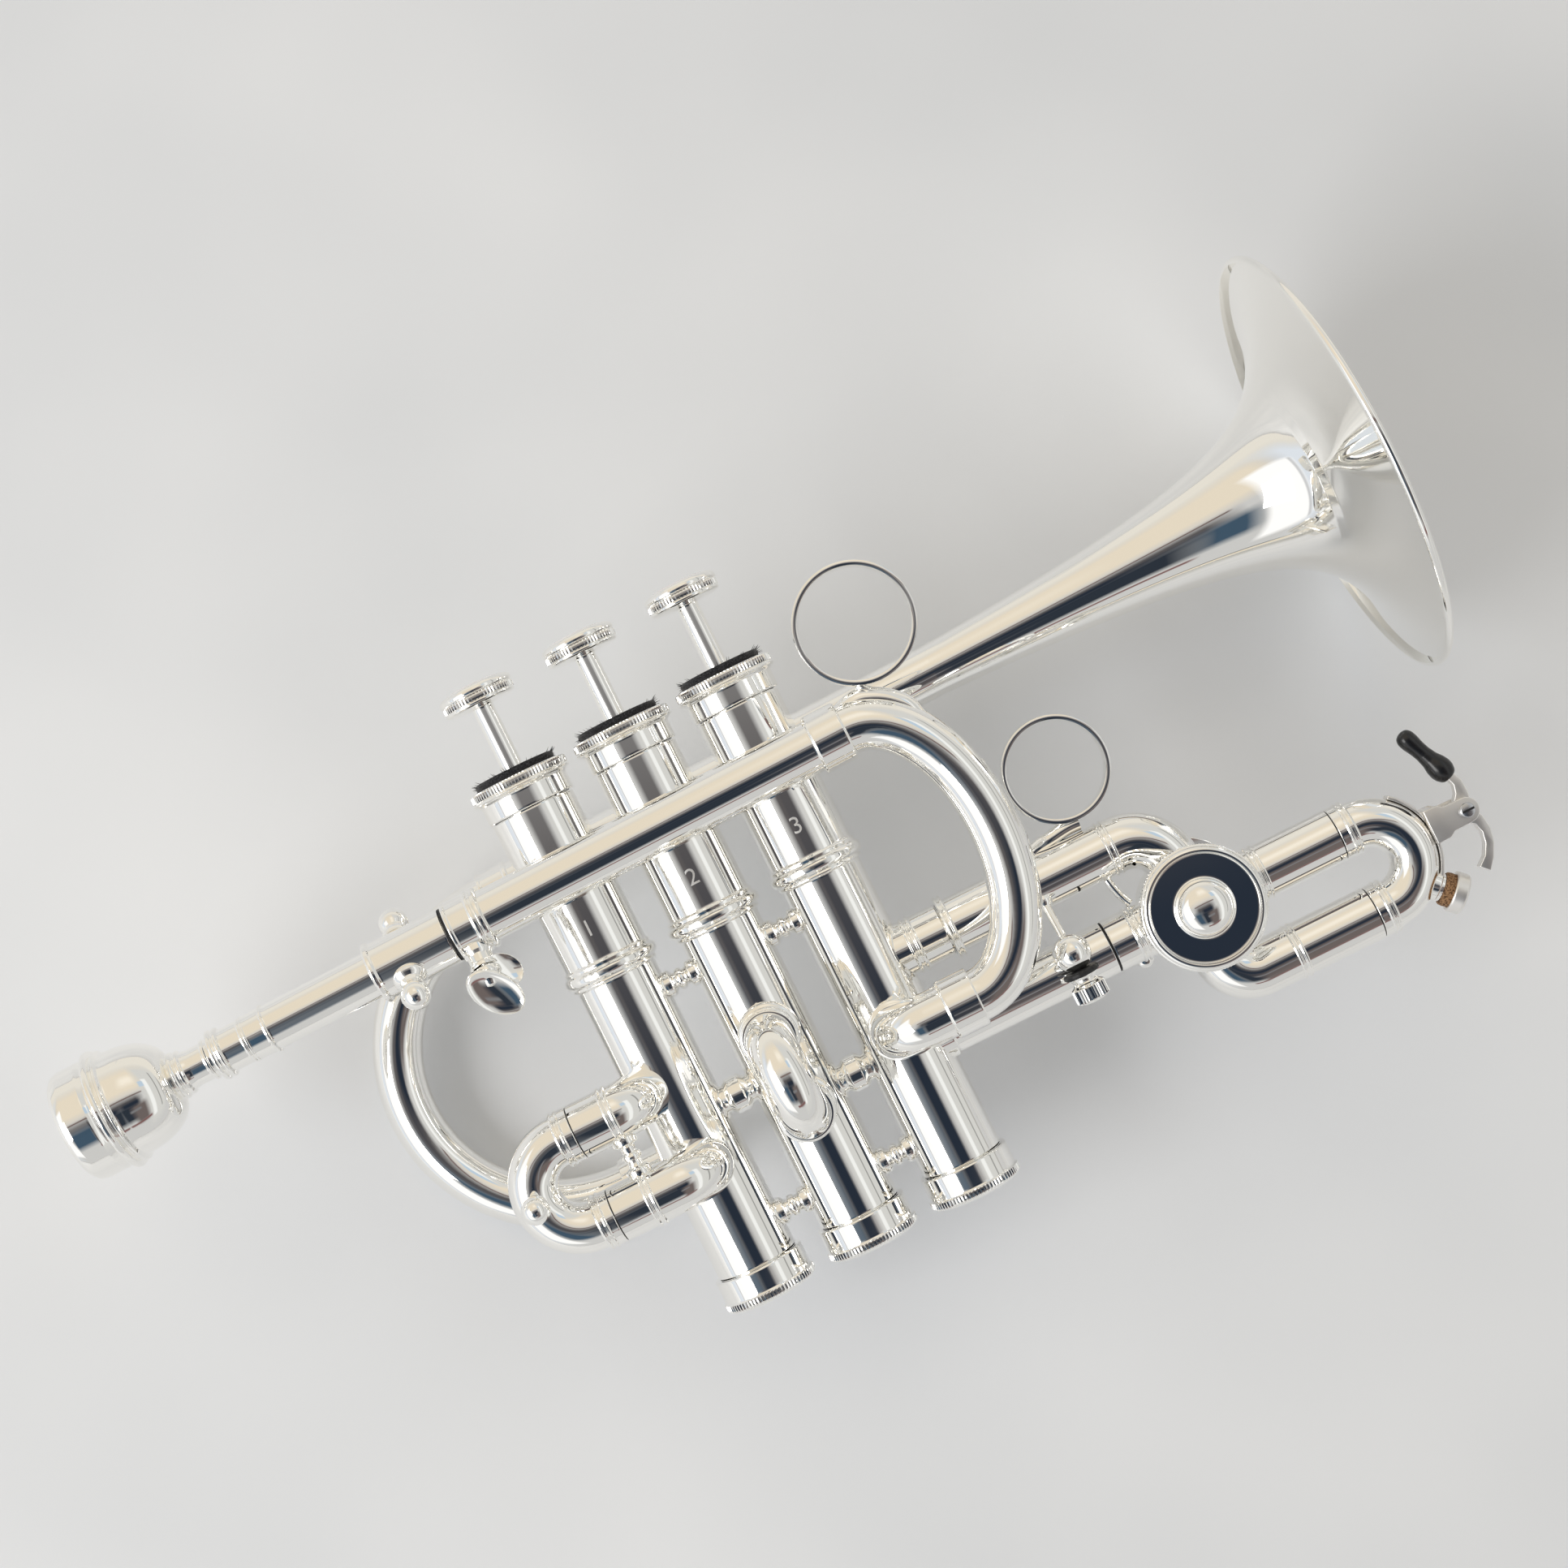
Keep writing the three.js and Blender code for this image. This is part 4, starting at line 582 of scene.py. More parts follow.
BASE_LIGHT = (0.60, 0.60, 0.595)
ROOM_PATCHES = [
    # name, colour, east centre and half width, north centre and half height, softness, in degrees
    ("far wall", (0.80, 0.765, 0.69), 0, 180, 100, 32, 14),
    ("warm wall", (0.80, 0.715, 0.58), 5, 62, 43, 27, 9),
    ("warm lamp", (0.93, 0.86, 0.74), 14, 13, 43, 9, 6),
    ("left wall", (0.74, 0.79, 0.86), -98, 34, 0, 70, 8),
    ("left window", (1.05, 1.05, 1.05), -54, 17, -8, 55, 3),
    ("window bar", (0.62, 0.63, 0.65), -70, 1.4, -8, 55, 0.8),
    ("right wall", (0.66, 0.66, 0.64), 75, 42, 0, 70, 8),
    ("right pane", (0.90, 0.91, 0.90), 45, 5, -10, 48, 1.6),
    ("right frame", (0.30, 0.30, 0.29), 68, 1.6, 0, 60, 1.0),
    ("door", (0.44, 0.43, 0.41), 86, 3.0, 0, 70, 1.2),
    ("door edge", (0.12, 0.12, 0.12), 94, 1.3, 0, 70, 0.8),
    ("dusk", (0.105, 0.098, 0.10), 1, 22, -3, 10, 7),
    ("viewer's sleeve", (0.052, 0.092, 0.14), -21, 11, -25, 18, 6),
    ("viewer", (0.026, 0.034, 0.048), 3, 15, -26, 17, 5),
    ("viewer's side", (0.15, 0.125, 0.12), 18, 13, -33, 20, 5),
    ("viewer's hat", (0.020, 0.028, 0.044), 7, 13, -8, 5.5, 3.5),
    ("viewer's arm", (0.20, 0.20, 0.21), 10, 9, -24, 2.2, 1.5),
    ("red rail", (0.20, 0.10, 0.095), 12, 24, -52, 2.2, 1.5),
    ("ledge", (0.16, 0.11, 0.10), 4, 26, 8.5, 1.3, 1.0),
    ("blue glass", (0.50, 0.62, 0.74), 36, 5, 26, 7, 1.5),
]
room()

# %% A soft lamp and the floor
bpy.ops.object.light_add(type="AREA", location=(-1.35, -0.15, 1.05))
lamp = bpy.context.object
lamp.data.shape = "RECTANGLE"
lamp.data.size = 1.0
lamp.data.size_y = 0.7
lamp.data.energy = 10.5
lamp.data.color = (1.0, 0.99, 0.97)
aim = Vector((0.0, 0.0, 0.05)) - lamp.location
lamp.rotation_euler = aim.to_track_quat("-Z", "Y").to_euler()

clear()
bpy.ops.mesh.primitive_plane_add(size=6, location=(0, 0, -0.0005))
floor = bpy.context.object
floor.name = "floor"
pale, shader = noisy_finish(
    "pale_floor", (0.82, 0.84, 0.87), (0.925, 0.94, 0.965), 0.9, 7.0, 2.0, 0.3, 0.7, 0.0003
)
floor.data.materials.append(pale)
print("lamp and floor are set")

# %% [markdown]
# ## The mouthpiece
#
# A mouthpiece is turned from one bar of brass: a cushioned rim, a cup, a throat and a tapered shank. Its
# outside is stepped and beaded. One outline holds the outside and the bore, so one spin makes it all.

# %% The leadpipe's line, which rises a little towards the bell
BOW_X = 45.9
bow_start = at(BOW_X, 27.5, 22)
pipe_axis = turn.transposed() @ -Vector(joint["leadpipe_pull"]["axis"])


def along_pipe(outline, sides=72, soft=0.14):
    return turned([(r, x - BOW_X) for r, x in outline], bow_start, pipe_axis, sides, soft)


# %% Mouthpiece
RIM_X = -147.5
BOWL_START = 13.2
BOWL_LENGTH = 12.0
rim = [(8.0, 1.2), (8.6, 0.45), (9.6, 0.06), (10.8, 0), (12.0, 0.4), (12.8, 1.3), (13.1, 2.6)]
grooves = [
    (13.1, 7.4), (12.7, 8.2), (12.4, 8.7), (13.7, 9.2), (14.2, 9.7), (14.2, 10.4), (13.8, 10.9),
    (12.8, 11.1), (12.8, 11.5), (13.4, 11.8), (13.4, 12.3), (12.5, 12.7), (12.4, BOWL_START),
]
bowl = []
for step in range(1, 15):
    t = math.radians(90 * step / 14)
    bowl.append((4.6 + 7.8 * math.cos(t) ** 0.85, BOWL_START + BOWL_LENGTH * math.sin(t)))
neck = [
    (4.6, 25.5), (5.4, 25.8), (5.65, 26.3), (5.4, 26.8), (4.9, 27.0), (4.9, 27.3), (5.25, 27.6),
    (5.2, 28.2), (4.5, 28.6), (4.3, 30), (4.35, 33.6), (4.8, 33.8), (4.8, 34.4), (4.4, 34.6),
    (4.3, 46), (3.1, 46), (1.8, 24), (1.8, 16), (2.6, 13.6), (5.6, 9.5), (7.4, 4.6), (8.0, 1.2),
]
mouthpiece = along_pipe([(r, RIM_X + h) for r, h in rim + grooves + bowl + neck], sides=96)
silver(mouthpiece, "mouthpiece", angle=50)

# %% [markdown]
# ## The leadpipe and its clamp
#
# The leadpipe is the tuning slide: it draws out of the main tube and a clamp with a wing screw holds it.
# Pipes get ferrules, short rings that hide a soldered joint, so their outlines step in and out.

# %% Leadpipe, with the receiver for the mouthpiece
MOUTH_X = -112
receiver = [
    (4.6, 0), (5.5, 0), (5.95, 0.3), (6.05, 0.75), (5.9, 1.15), (5.45, 1.35), (5.45, 1.65),
    (5.85, 1.85), (5.95, 2.25), (5.8, 2.65), (5.1, 2.85), (5.1, 7.6), (5.35, 7.75), (5.35, 8.15),
    (5.15, 8.3), (5.4, 8.45), (5.4, 8.85), (5.25, 9.0), (5.4, 13.2), (5.8, 13.4), (5.8, 13.8),
    (5.3, 14.0), (5.3, 77.5), (4.6, 77.5), (4.6, 0),
]
silver(along_pipe([(r, MOUTH_X + h) for r, h in receiver]), "leadpipe")

# %% Collar on the leadpipe, with the black line where it meets the main tube
COLLAR_X = -72.3
SEAM_X = -52.9
collar = [
    (5.3, COLLAR_X), (6.7, COLLAR_X), (7.25, COLLAR_X + 0.5), (7.1, COLLAR_X + 1.3),
    (6.65, COLLAR_X + 1.7), (6.6, SEAM_X - 0.5), (5.3, SEAM_X - 0.5), (5.3, COLLAR_X),
]
silver(along_pipe(collar), "slide_collar")
joint_line = sleeve([(6.35, SEAM_X - 0.4), (6.35, SEAM_X + 0.2)], 5.5)
greased([along_pipe(joint_line)], "leadpipe_seam", "leadpipe_slide")
PULL_X = -64.8
PULL_TILT = math.radians(48)
pull_foot = bow_start + pipe_axis * (PULL_X - BOW_X)
pull_side = pipe_axis.cross(Z)
for name, side in (("pull_knob_front", 1), ("pull_knob_back", -1)):
    axis = pull_side * math.cos(PULL_TILT) * side + Z * math.sin(PULL_TILT) * side
    foot = pull_foot + axis * 6.3
    outline = [(0, 0), (3.8, 0), (3.9, 0.9), (3.3, 1.5), (2.6, 2.0), (2.5, 3.2), (2.7, 3.7)]
    silver(turned(outline + ball(3.4, 6.1, -46, 8), foot, axis, 48), name, angle=40)

# %% Main tube, with the ferrule where the lead bow goes in
TUBE_END = 37.8
main_tube = sleeve([
    (6.0, SEAM_X + 0.3), (6.0, TUBE_END - 0.2), (6.7, TUBE_END), (6.9, TUBE_END + 0.3),
    (6.9, TUBE_END + 7.3), (6.6, TUBE_END + 7.7), (6.2, TUBE_END + 7.8),
], 5.4)
silver(along_pipe(main_tube), "main_tube")

# %% Clamp band and its boss
CLAMP_X = -52.6
CLAMP_TILT = math.radians(25)
band = sleeve([
    (6.9, CLAMP_X), (7.2, CLAMP_X + 0.2), (7.2, CLAMP_X + 0.9), (6.95, CLAMP_X + 1.1),
    (6.95, CLAMP_X + 5.6), (7.45, CLAMP_X + 5.9), (7.45, CLAMP_X + 6.5), (7.0, CLAMP_X + 6.7),
    (7.0, CLAMP_X + 7.1), (7.4, CLAMP_X + 7.4), (7.3, CLAMP_X + 8.2), (6.5, CLAMP_X + 8.6),
], 6.0)
clamp_axis = pull_side * math.cos(CLAMP_TILT) + Z * math.sin(CLAMP_TILT)
clamp_foot = bow_start + pipe_axis * (CLAMP_X + 3.4 - BOW_X)
boss = turned([
    (0, 5.5), (3.6, 5.5), (3.3, 7.4), (2.9, 8.2), (2.9, 10.2), (3.3, 10.5), (3.3, 11.4), (0, 11.4),
], clamp_foot, clamp_axis, 48)
silver(joined(along_pipe(band), boss), "clamp_band")


# %% Wing screw: a turned neck and two cupped leaves pressed out of a flattened ball
def cupped_leaf(centre, along, across, length, width, bulge):
    clear()
    bpy.ops.mesh.primitive_uv_sphere_add(segments=40, ring_count=24, radius=1, location=(0, 0, 0))
    leaf = bpy.context.object
    bpy.ops.object.mode_set(mode="EDIT")
    bpy.ops.mesh.select_all(action="DESELECT")
    bpy.ops.object.mode_set(mode="OBJECT")
    for vertex in leaf.data.vertices:
        vertex.select = vertex.co.z > 0.35
    bpy.ops.object.mode_set(mode="EDIT")
    bpy.ops.transform.resize(value=(1, 1, -0.55), center_override=(0, 0, 0.35))
    bpy.ops.mesh.select_all(action="SELECT")
    bpy.ops.mesh.normals_make_consistent(inside=False)
    bpy.ops.object.mode_set(mode="OBJECT")
    out = across.cross(along).normalized()
    frame_axes = Matrix((across.normalized(), along.normalized(), out)).transposed().to_4x4()
    size = Matrix.Diagonal((width / 2, length / 2, bulge, 1))
    leaf.matrix_world = Matrix.Translation(centre) @ frame_axes @ size
    bpy.ops.object.transform_apply(location=True, rotation=True, scale=True)
    return leaf


wing_foot = clamp_foot + clamp_axis * 11.7
wing_neck = turned([
    (0, 0), (3.1, 0), (3.3, 0.4), (3.3, 1.4), (2.6, 2.2), (2.0, 3.4), (1.4, 4.2), (0, 4.6),
], wing_foot, clamp_axis, 48)
front_leaf = cupped_leaf(
    wing_foot + at(0, -5.2) + Z * 2.0, at(0.55, -0.8, -0.25), at(-0.84, -0.5, -0.1), 14.2, 9.0, 2.4
)
back_leaf = cupped_leaf(
    wing_foot + at(3.4, -1.6) + Z * 0.4, at(0.7, -0.65, -0.3), at(-0.6, -0.75, 0.35), 9.6, 7.4, 1.8
)
silver(joined(wing_neck, front_leaf, back_leaf), "wing_screw", angle=50)

# %% [markdown]
# ## The lead bow
#
# The bow is the large half-oval on the player's right. An oval isn't made of circles, so this tube
# follows a Bezier curve whose handles are set to draw a quarter of an ellipse each, and is then turned
# into a mesh.

# %% Lead bow
BOW_REACH = 19.8
BOW_LOW_Y = -38.4
BOW_R = 5.95
QUARTER = 0.5523
half_height = (bow_start.y - BOW_LOW_Y) / 2
tip = at(BOW_X + BOW_REACH, (bow_start.y + BOW_LOW_Y) / 2, bow_start.z)
lead_bow = curved_rod([
    (bow_start - X * 2, X),
    (bow_start, X * BOW_REACH * QUARTER),
    (tip, -Y * half_height * QUARTER),
    (at(BOW_X, BOW_LOW_Y, bow_start.z), -X * BOW_REACH * QUARTER),
    (at(BOW_X - 2, BOW_LOW_Y, bow_start.z), -X),
], BOW_R)
silver(lead_bow, "lead_bow")

# %% Knees: short elbows that take a tube down into a valve casing
KNEE_R = 6.8
INTO_CASING = 6.0
knee_run = BOW_X - 0.3 - valve_x[3] - KNEE_R
knee = tube(at(BOW_X - 0.3, BOW_LOW_Y, bow_start.z), -X, 6.2, [
    ("run", knee_run), ("bend", -Z, 90, KNEE_R), ("run", bow_start.z - KNEE_R - INTO_CASING),
])
knee_ferrule = turned(sleeve([
    (6.6, 0), (6.9, 0.3), (6.9, 7.2), (6.7, 7.6), (6.2, 7.8),
], 5.6), at(BOW_X - 0.3, BOW_LOW_Y, bow_start.z), -X)
knee_lip = turned(sleeve([(6.2, 0), (6.9, 0.2), (6.9, 0.8), (6.2, 1.1)], 5.8),
                  at(valve_x[3], BOW_LOW_Y, 11.2), Z)
silver(joined(knee, knee_ferrule, knee_lip), "lead_knee")

# %% [markdown]
# ## Valves
#
# Each valve is a casing with a beaded joint half way up, a cap at each end and a piston whose stem
# carries the button. One function makes a casing, and the other valves get the same, because a real set
# is cut from the same bar. The caps' knurled rims are turned with three columns a tooth, and every third
# column is pressed in.

# %% Casings
LOWER_R, UPPER_R = 9.8, 10.2
BODY_LOW, BODY_HIGH = -72.6, 43.5
BEAD_Y = 3.1


def casing(number):
    outline = [
        (8.4, BODY_LOW - 3.4), (9.2, BODY_LOW - 3.4), (9.2, BODY_LOW), (LOWER_R, BODY_LOW),
        (LOWER_R, BEAD_Y - 2.8), (10.4, BEAD_Y - 2.6), (10.6, BEAD_Y - 2.2), (10.4, BEAD_Y - 1.8),
        (10.6, BEAD_Y - 1.6), (11.2, BEAD_Y - 1.2), (11.5, BEAD_Y - 0.6), (11.5, BEAD_Y + 0.4),
        (11.2, BEAD_Y + 1.0), (10.6, BEAD_Y + 1.4), (10.7, BEAD_Y + 1.7), (10.8, BEAD_Y + 2.1),
        (10.5, BEAD_Y + 2.4), (UPPER_R, BEAD_Y + 2.6), (UPPER_R, BODY_HIGH), (9.2, BODY_HIGH),
        (9.2, BODY_HIGH + 3.4), (8.4, BODY_HIGH + 3.4), (8.4, BODY_LOW - 3.4),
    ]
    return turned(outline, at(valve_x[number], 0), Y, 112)


def post(foot, axis, length, flange=3.2, waist=1.9):
    """A turned stay with a ring round its waist."""
    half = length / 2
    outline = [
        (0, -0.7), (flange, -0.7), (flange, 1.0), (flange - 0.4, 1.4), (waist + 0.3, 1.75),
        (waist, half - 0.95), (waist + 0.6, half - 0.7), (waist + 0.8, half),
        (waist + 0.6, half + 0.7), (waist, half + 0.95), (waist + 0.3, length - 1.75),
        (flange - 0.4, length - 1.4), (flange, length - 1.0), (flange, length + 0.7),
        (0, length + 0.7),
    ]
    return turned(outline, foot, axis, 40, soft=0.1)


# %% Stays and passages between the casings
between = valve_x[2] - valve_x[1] - 2 * LOWER_R
passage = [
    (0, -0.6), (3.3, -0.6), (3.4, 0.7), (4.2, 1.5), (4.45, 1.9), (4.45, between - 1.9),
    (4.2, between - 1.5), (3.4, between - 0.7), (3.3, between + 0.6), (0, between + 0.6),
]
middle_casing = [casing(2)]
for side in (-1, 1):
    for y in (-6.7, -65):
        middle_casing.append(post(at(valve_x[2] + side * LOWER_R, y), X * side, between))
    passage_y = -36.3 if side < 0 else -44
    middle_casing.append(turned(passage, at(valve_x[2] + side * LOWER_R, passage_y), X * side, 48))
silver(joined(*middle_casing), "casing_2")
pipe_back = bow_start.z - 6.0
bell_front = 26 - 6.6
for number in (1, 3):
    front = post(at(valve_x[number], 26.5, UPPER_R - 0.5), Z, pipe_back - UPPER_R + 0.5, 3, 1.7)
    back = post(at(valve_x[number], 30.3, 0.5 - UPPER_R), -Z, bell_front - UPPER_R + 0.2, 3, 1.7)
    silver(joined(casing(number), front, back), f"casing_{number}")

# %% Bottom caps
BOTTOM_Y = -81.0
bottom_outline = [
    (1.6, BOTTOM_Y + 0.9), (1.9, BOTTOM_Y + 0.5), (7.4, BOTTOM_Y + 0.35), (9.2, BOTTOM_Y),
    (10.1, BOTTOM_Y + 0.1), (10.9, BOTTOM_Y + 0.5), (11.25, BOTTOM_Y + 1.0),
    (11.25, BOTTOM_Y + 2.3), (10.95, BOTTOM_Y + 2.6), (10.85, BOTTOM_Y + 2.9), (10.9, -73.3),
    (10.7, -72.95), (9.5, -72.9), (9.5, BOTTOM_Y + 2.2), (1.6, BOTTOM_Y + 2.2),
    (1.6, BOTTOM_Y + 0.9),
]
for number, x in valve_x.items():
    cap = knurled(bottom_outline, at(x, 0), Y, 80, BOTTOM_Y + 0.4, BOTTOM_Y + 2.35, 10.4, depth=0.97)
    silver(cap, f"bottom_cap_{number}", angle=28)

# %% Top caps
CAP_TOP = 52.0
top_outline = [
    (9.5, 43.8), (10.5, 43.8), (10.7, 44.1), (10.7, 48.2), (11.3, 48.7), (12.0, 48.95),
    (12.25, 49.3), (12.0, 49.65), (11.8, 49.8), (12.0, 50.0), (12.0, 51.5), (11.6, 51.8),
    (10.9, CAP_TOP), (2.8, CAP_TOP), (2.8, 50.5), (9.5, 50.5), (9.5, 43.8),
]
for number, x in valve_x.items():
    cap = knurled(top_outline, at(x, 0), Y, 88, 49.9, 51.65, 11.7, depth=0.972)
    silver(cap, f"top_cap_{number}", angle=28)

# %% Buttons on their stems, and the pearls in them
button_outline = [
    (0, -7.7), (5.4, -7.7), (5.4, -5.7), (2.4, -4.7), (2.4, 46), (2.6, 47), (2.6, 69.5),
    (3.3, 69.7), (4.6, 69.9), (7.8, 70.0), (8.5, 70.3), (8.6, 70.7), (8.5, 71.0),
    (8.75, 71.15), (8.75, 72.5), (8.5, 72.65), (8.9, 72.9), (9.0, 73.4), (8.9, 73.9),
    (8.4, 74.5), (7.8, 74.75), (7.5, 74.6), (7.5, 74.1), (0, 74.1),
]
pearl_outline = [(0, 74.4), (7.1, 74.4), (7.25, 74.7), (6.6, 75.0), (4.0, 75.2), (0, 75.3)]
for number, x in valve_x.items():
    button = knurled(button_outline, at(x, 0), Y, 66, 71.05, 72.6, 8.6, depth=0.965)
    silver(button, f"button_{number}", angle=28)
    top = turned(pearl_outline, at(x, 0), Y, 64)
    settle(top, f"fine_pearl_{number}", pearl, f"pearl_{number}")

# %% [markdown]
# ## Felt washers
#
# Felt has no clean edge: fibres stand out all round it. The washer is turned and roughened, and then a
# single tapered fibre is modelled once and copied round the rim, leaning a different way each time.

# %% Felts with their fibres
FELT_LOW, FELT_R = 52.15, 9.7
FIBRES = 130


def fibre():
    clear()
    bpy.ops.mesh.primitive_cone_add(vertices=3, radius1=0.11, radius2=0.02, depth=1.5)
    hair = bpy.context.object
    bpy.ops.object.mode_set(mode="EDIT")
    bpy.ops.mesh.select_all(action="SELECT")
    bpy.ops.transform.translate(value=(0, 0, 0.75))
    bpy.ops.object.mode_set(mode="OBJECT")
    return hair


for number, x in valve_x.items():
    washer = turned([
        (2.8, FELT_LOW), (FELT_R, FELT_LOW), (FELT_R + 0.2, FELT_LOW + 0.8),
        (FELT_R - 0.1, FELT_LOW + 1.5), (2.8, FELT_LOW + 1.6), (2.8, FELT_LOW),
    ], at(x, 0), Y, 120)
    hairs = []
    seed = fibre()
    for i in range(FIBRES):
        around = 2 * math.pi * i / FIBRES
        wander = math.sin(i * 12.9898 + number * 3.7) * 43758.5453 % 1
        second = math.sin(i * 78.233 + number * 1.3) * 12543.123 % 1
        outward = at(math.cos(around), 0, math.sin(around))
        lean = (outward * (0.5 + wander) + Y * (second * 1.5 - 0.45)).normalized()
        hair = seed.copy()
        hair.data = seed.data.copy()
        bpy.context.scene.collection.objects.link(hair)
        root = at(x, FELT_LOW + 0.3 + 1.1 * second) + outward * (FELT_R - 0.2)
        size = Matrix.Scale(0.5 + 0.6 * wander, 4)
        hair.matrix_world = (
            Matrix.Translation(root) @ Z.rotation_difference(lean).to_matrix().to_4x4() @ size
        )
        hairs.append(hair)
    bpy.data.objects.remove(seed)
    pad = joined(washer, *hairs)
    settle(pad, f"fine_felt_{number}", felt, f"felt_{number}", angle=60)

# %% [markdown]
# ## The bell
#
# A bell opens slowly and then ever faster, like one branch of a hyperbola. The formula below gives its
# radius from a place on its axis. The outside runs up to the rim, turns over a rolled bead and comes
# back as the inside, so the spun shape is a thin closed shell.

# %% Bell
BELL_START = at(-48.3, 29.3, -26)
BELL_TUBE_R, BELL_RIM_R, BELL_RIM_X = 6.2, 54.4, 180.4
FLARE_POLE_X, FLARE_POWER, CONE_END_X = 186.0, 0.71, 72.0
BELL_WALL = 0.55


def flare(x):
    return BELL_RIM_R * ((FLARE_POLE_X - BELL_RIM_X) / (FLARE_POLE_X - x)) ** FLARE_POWER


def bell_radius(x):
    if x >= CONE_END_X:
        return flare(x)
    part = (x - BELL_START.x) / (CONE_END_X - BELL_START.x)
    curve = part * part * (3 - 2 * part) * 0.25 + part * 0.75
    return BELL_TUBE_R + (flare(CONE_END_X) - BELL_TUBE_R) * curve


stations = [BELL_START.x + 12 * i for i in range(11)]
FLARE_STEPS = 44
stations += [
    CONE_END_X + (BELL_RIM_X - CONE_END_X) * (1 - (1 - i / FLARE_STEPS) ** 1.9)
    for i in range(FLARE_STEPS + 1)
]
outside = [(bell_radius(x), x - BELL_START.x) for x in stations]
inside = [(max(r - BELL_WALL, 0.5), h + 0.25 * (r / BELL_RIM_R)) for r, h in reversed(outside)]
BEAD_R = 1.1
rim_h = BELL_RIM_X - BELL_START.x
bead = arc((BELL_RIM_R - 0.8, rim_h - 0.3), BEAD_R, -100, 80, 10)
bell_outline = outside[:-1] + bead + inside[1:] + [outside[0]]
bell = turned(bell_outline, BELL_START, pipe_axis, sides=176, soft=0)
bell_ferrule = turned(sleeve([
    (6.3, -0.2), (6.9, 0), (6.9, 0.7), (6.6, 1.0), (6.6, 6.6), (6.9, 6.9), (6.9, 7.6), (6.4, 8.0),
], 5.8), BELL_START, pipe_axis)
silver(joined(bell, bell_ferrule), "bell", angle=50)

# %% Bell bow and the knee that leads from it into the first valve
BELL_LOW_Y = -47.2
bell_turn = (BELL_START.y - BELL_LOW_Y) / 2
bell_bow = tube(BELL_START + X * 0.5, -X, 6.0, [
    ("run", 0.8), ("bend", -Y, 180, bell_turn), ("run", 0.3),
], step=3)
silver(bell_bow, "bell_bow")
tail_start = at(BELL_START.x + 0.2, BELL_LOW_Y, BELL_START.z)
tail = tube(tail_start, X, 6.2, [
    ("run", valve_x[1] - KNEE_R - tail_start.x), ("bend", Z, 90, KNEE_R),
    ("run", -BELL_START.z - KNEE_R - INTO_CASING),
])
tail_ferrule = turned(sleeve([(6.4, -0.2), (6.95, 0), (6.95, 2.7), (6.5, 3.0)], 5.8), tail_start, X)
silver(joined(tail, tail_ferrule), "bell_tail")

# %% [markdown]
# ## Slides
#
# A slide is a crook, a tube bent into a U, whose legs run inside two fixed legs. At each meeting the
# crook has a ferrule with two fine beads, and the gap shows as a black line of grease. One function
# makes a crook, so the first, second and fourth slides differ only in place and size.

# %% A crook with ferrules, and the seam where it goes in
SLIDE_R, LEG_R = 5.7, 6.4
FERRULE_LENGTH = 4.6
band_outline = sleeve([
    (6.0, 0), (6.2, 0.1), (6.3, 0.3), (6.65, 0.45), (6.65, 0.85), (6.3, 1.05), (6.3, 1.5),
    (6.65, 1.7), (6.65, 2.1), (6.35, 2.3), (6.35, FERRULE_LENGTH - 0.4), (6.1, FERRULE_LENGTH - 0.25),
], 5.2)


def crook(middle_place, outward, across, spacing, insert):
    """middle_place is half way between the ends of the bend; the legs run against outward."""
    half = spacing / 2
    start = middle_place + across * half - outward * (FERRULE_LENGTH + insert)
    bent = tube(start, outward, SLIDE_R, [
        ("run", FERRULE_LENGTH + insert), ("bend", -across, 180, half),
        ("run", FERRULE_LENGTH + insert),
    ])
    bands = []
    for side in (1, -1):
        bands.append(turned(band_outline, middle_place + across * half * side, -outward))
    return [bent, *bands]


def seam(place, axis, radius=6.12, width=0.5):
    """The thin black line where two tubes meet."""
    return turned(sleeve([(radius, 0), (radius, width)], radius - 0.7), place, axis, 72, soft=0.05)


# %% First slide
FIRST_Z, FIRST_TOP_Y, FIRST_LOW_Y = 18.0, -26.3, -46.9
FIRST_SEAM_X, FIRST_OFFSET, FIRST_LEAN = -48.0, -3.9, 75
leg_ring = [
    (6.4, 0), (6.8, 0.25), (6.8, 0.7), (6.45, 0.95), (6.45, 1.4), (6.8, 1.65), (6.8, 2.1),
    (6.4, 2.35),
]


def leg_rings(place, axis):
    return turned(sleeve(leg_ring, 6.0), place, axis)


lean = math.radians(FIRST_LEAN)
drop = KNEE_R * (1 - math.cos(lean))
elbow_x = valve_x[1] + FIRST_OFFSET - KNEE_R * math.sin(lean) - (FIRST_Z - drop) / math.tan(lean)
first_top = tube(at(FIRST_SEAM_X, FIRST_TOP_Y, FIRST_Z), X, LEG_R, [
    ("run", elbow_x - FIRST_SEAM_X), ("bend", -Z, FIRST_LEAN, KNEE_R),
    ("run", (FIRST_Z - drop - INTO_CASING) / math.sin(lean)),
])
first_low = tube(at(FIRST_SEAM_X, FIRST_LOW_Y, FIRST_Z), X, LEG_R, [
    ("run", valve_x[1] - KNEE_R - FIRST_SEAM_X), ("bend", -Z, 90, KNEE_R),
    ("run", FIRST_Z - KNEE_R - INTO_CASING),
])
first_middle_y = (FIRST_TOP_Y + FIRST_LOW_Y) / 2
first_spacing = FIRST_TOP_Y - FIRST_LOW_Y
first_post = post(at(FIRST_SEAM_X + 8.5, FIRST_TOP_Y - 6.2, FIRST_Z), -Y, first_spacing - 12.4, 2.9, 1.5)
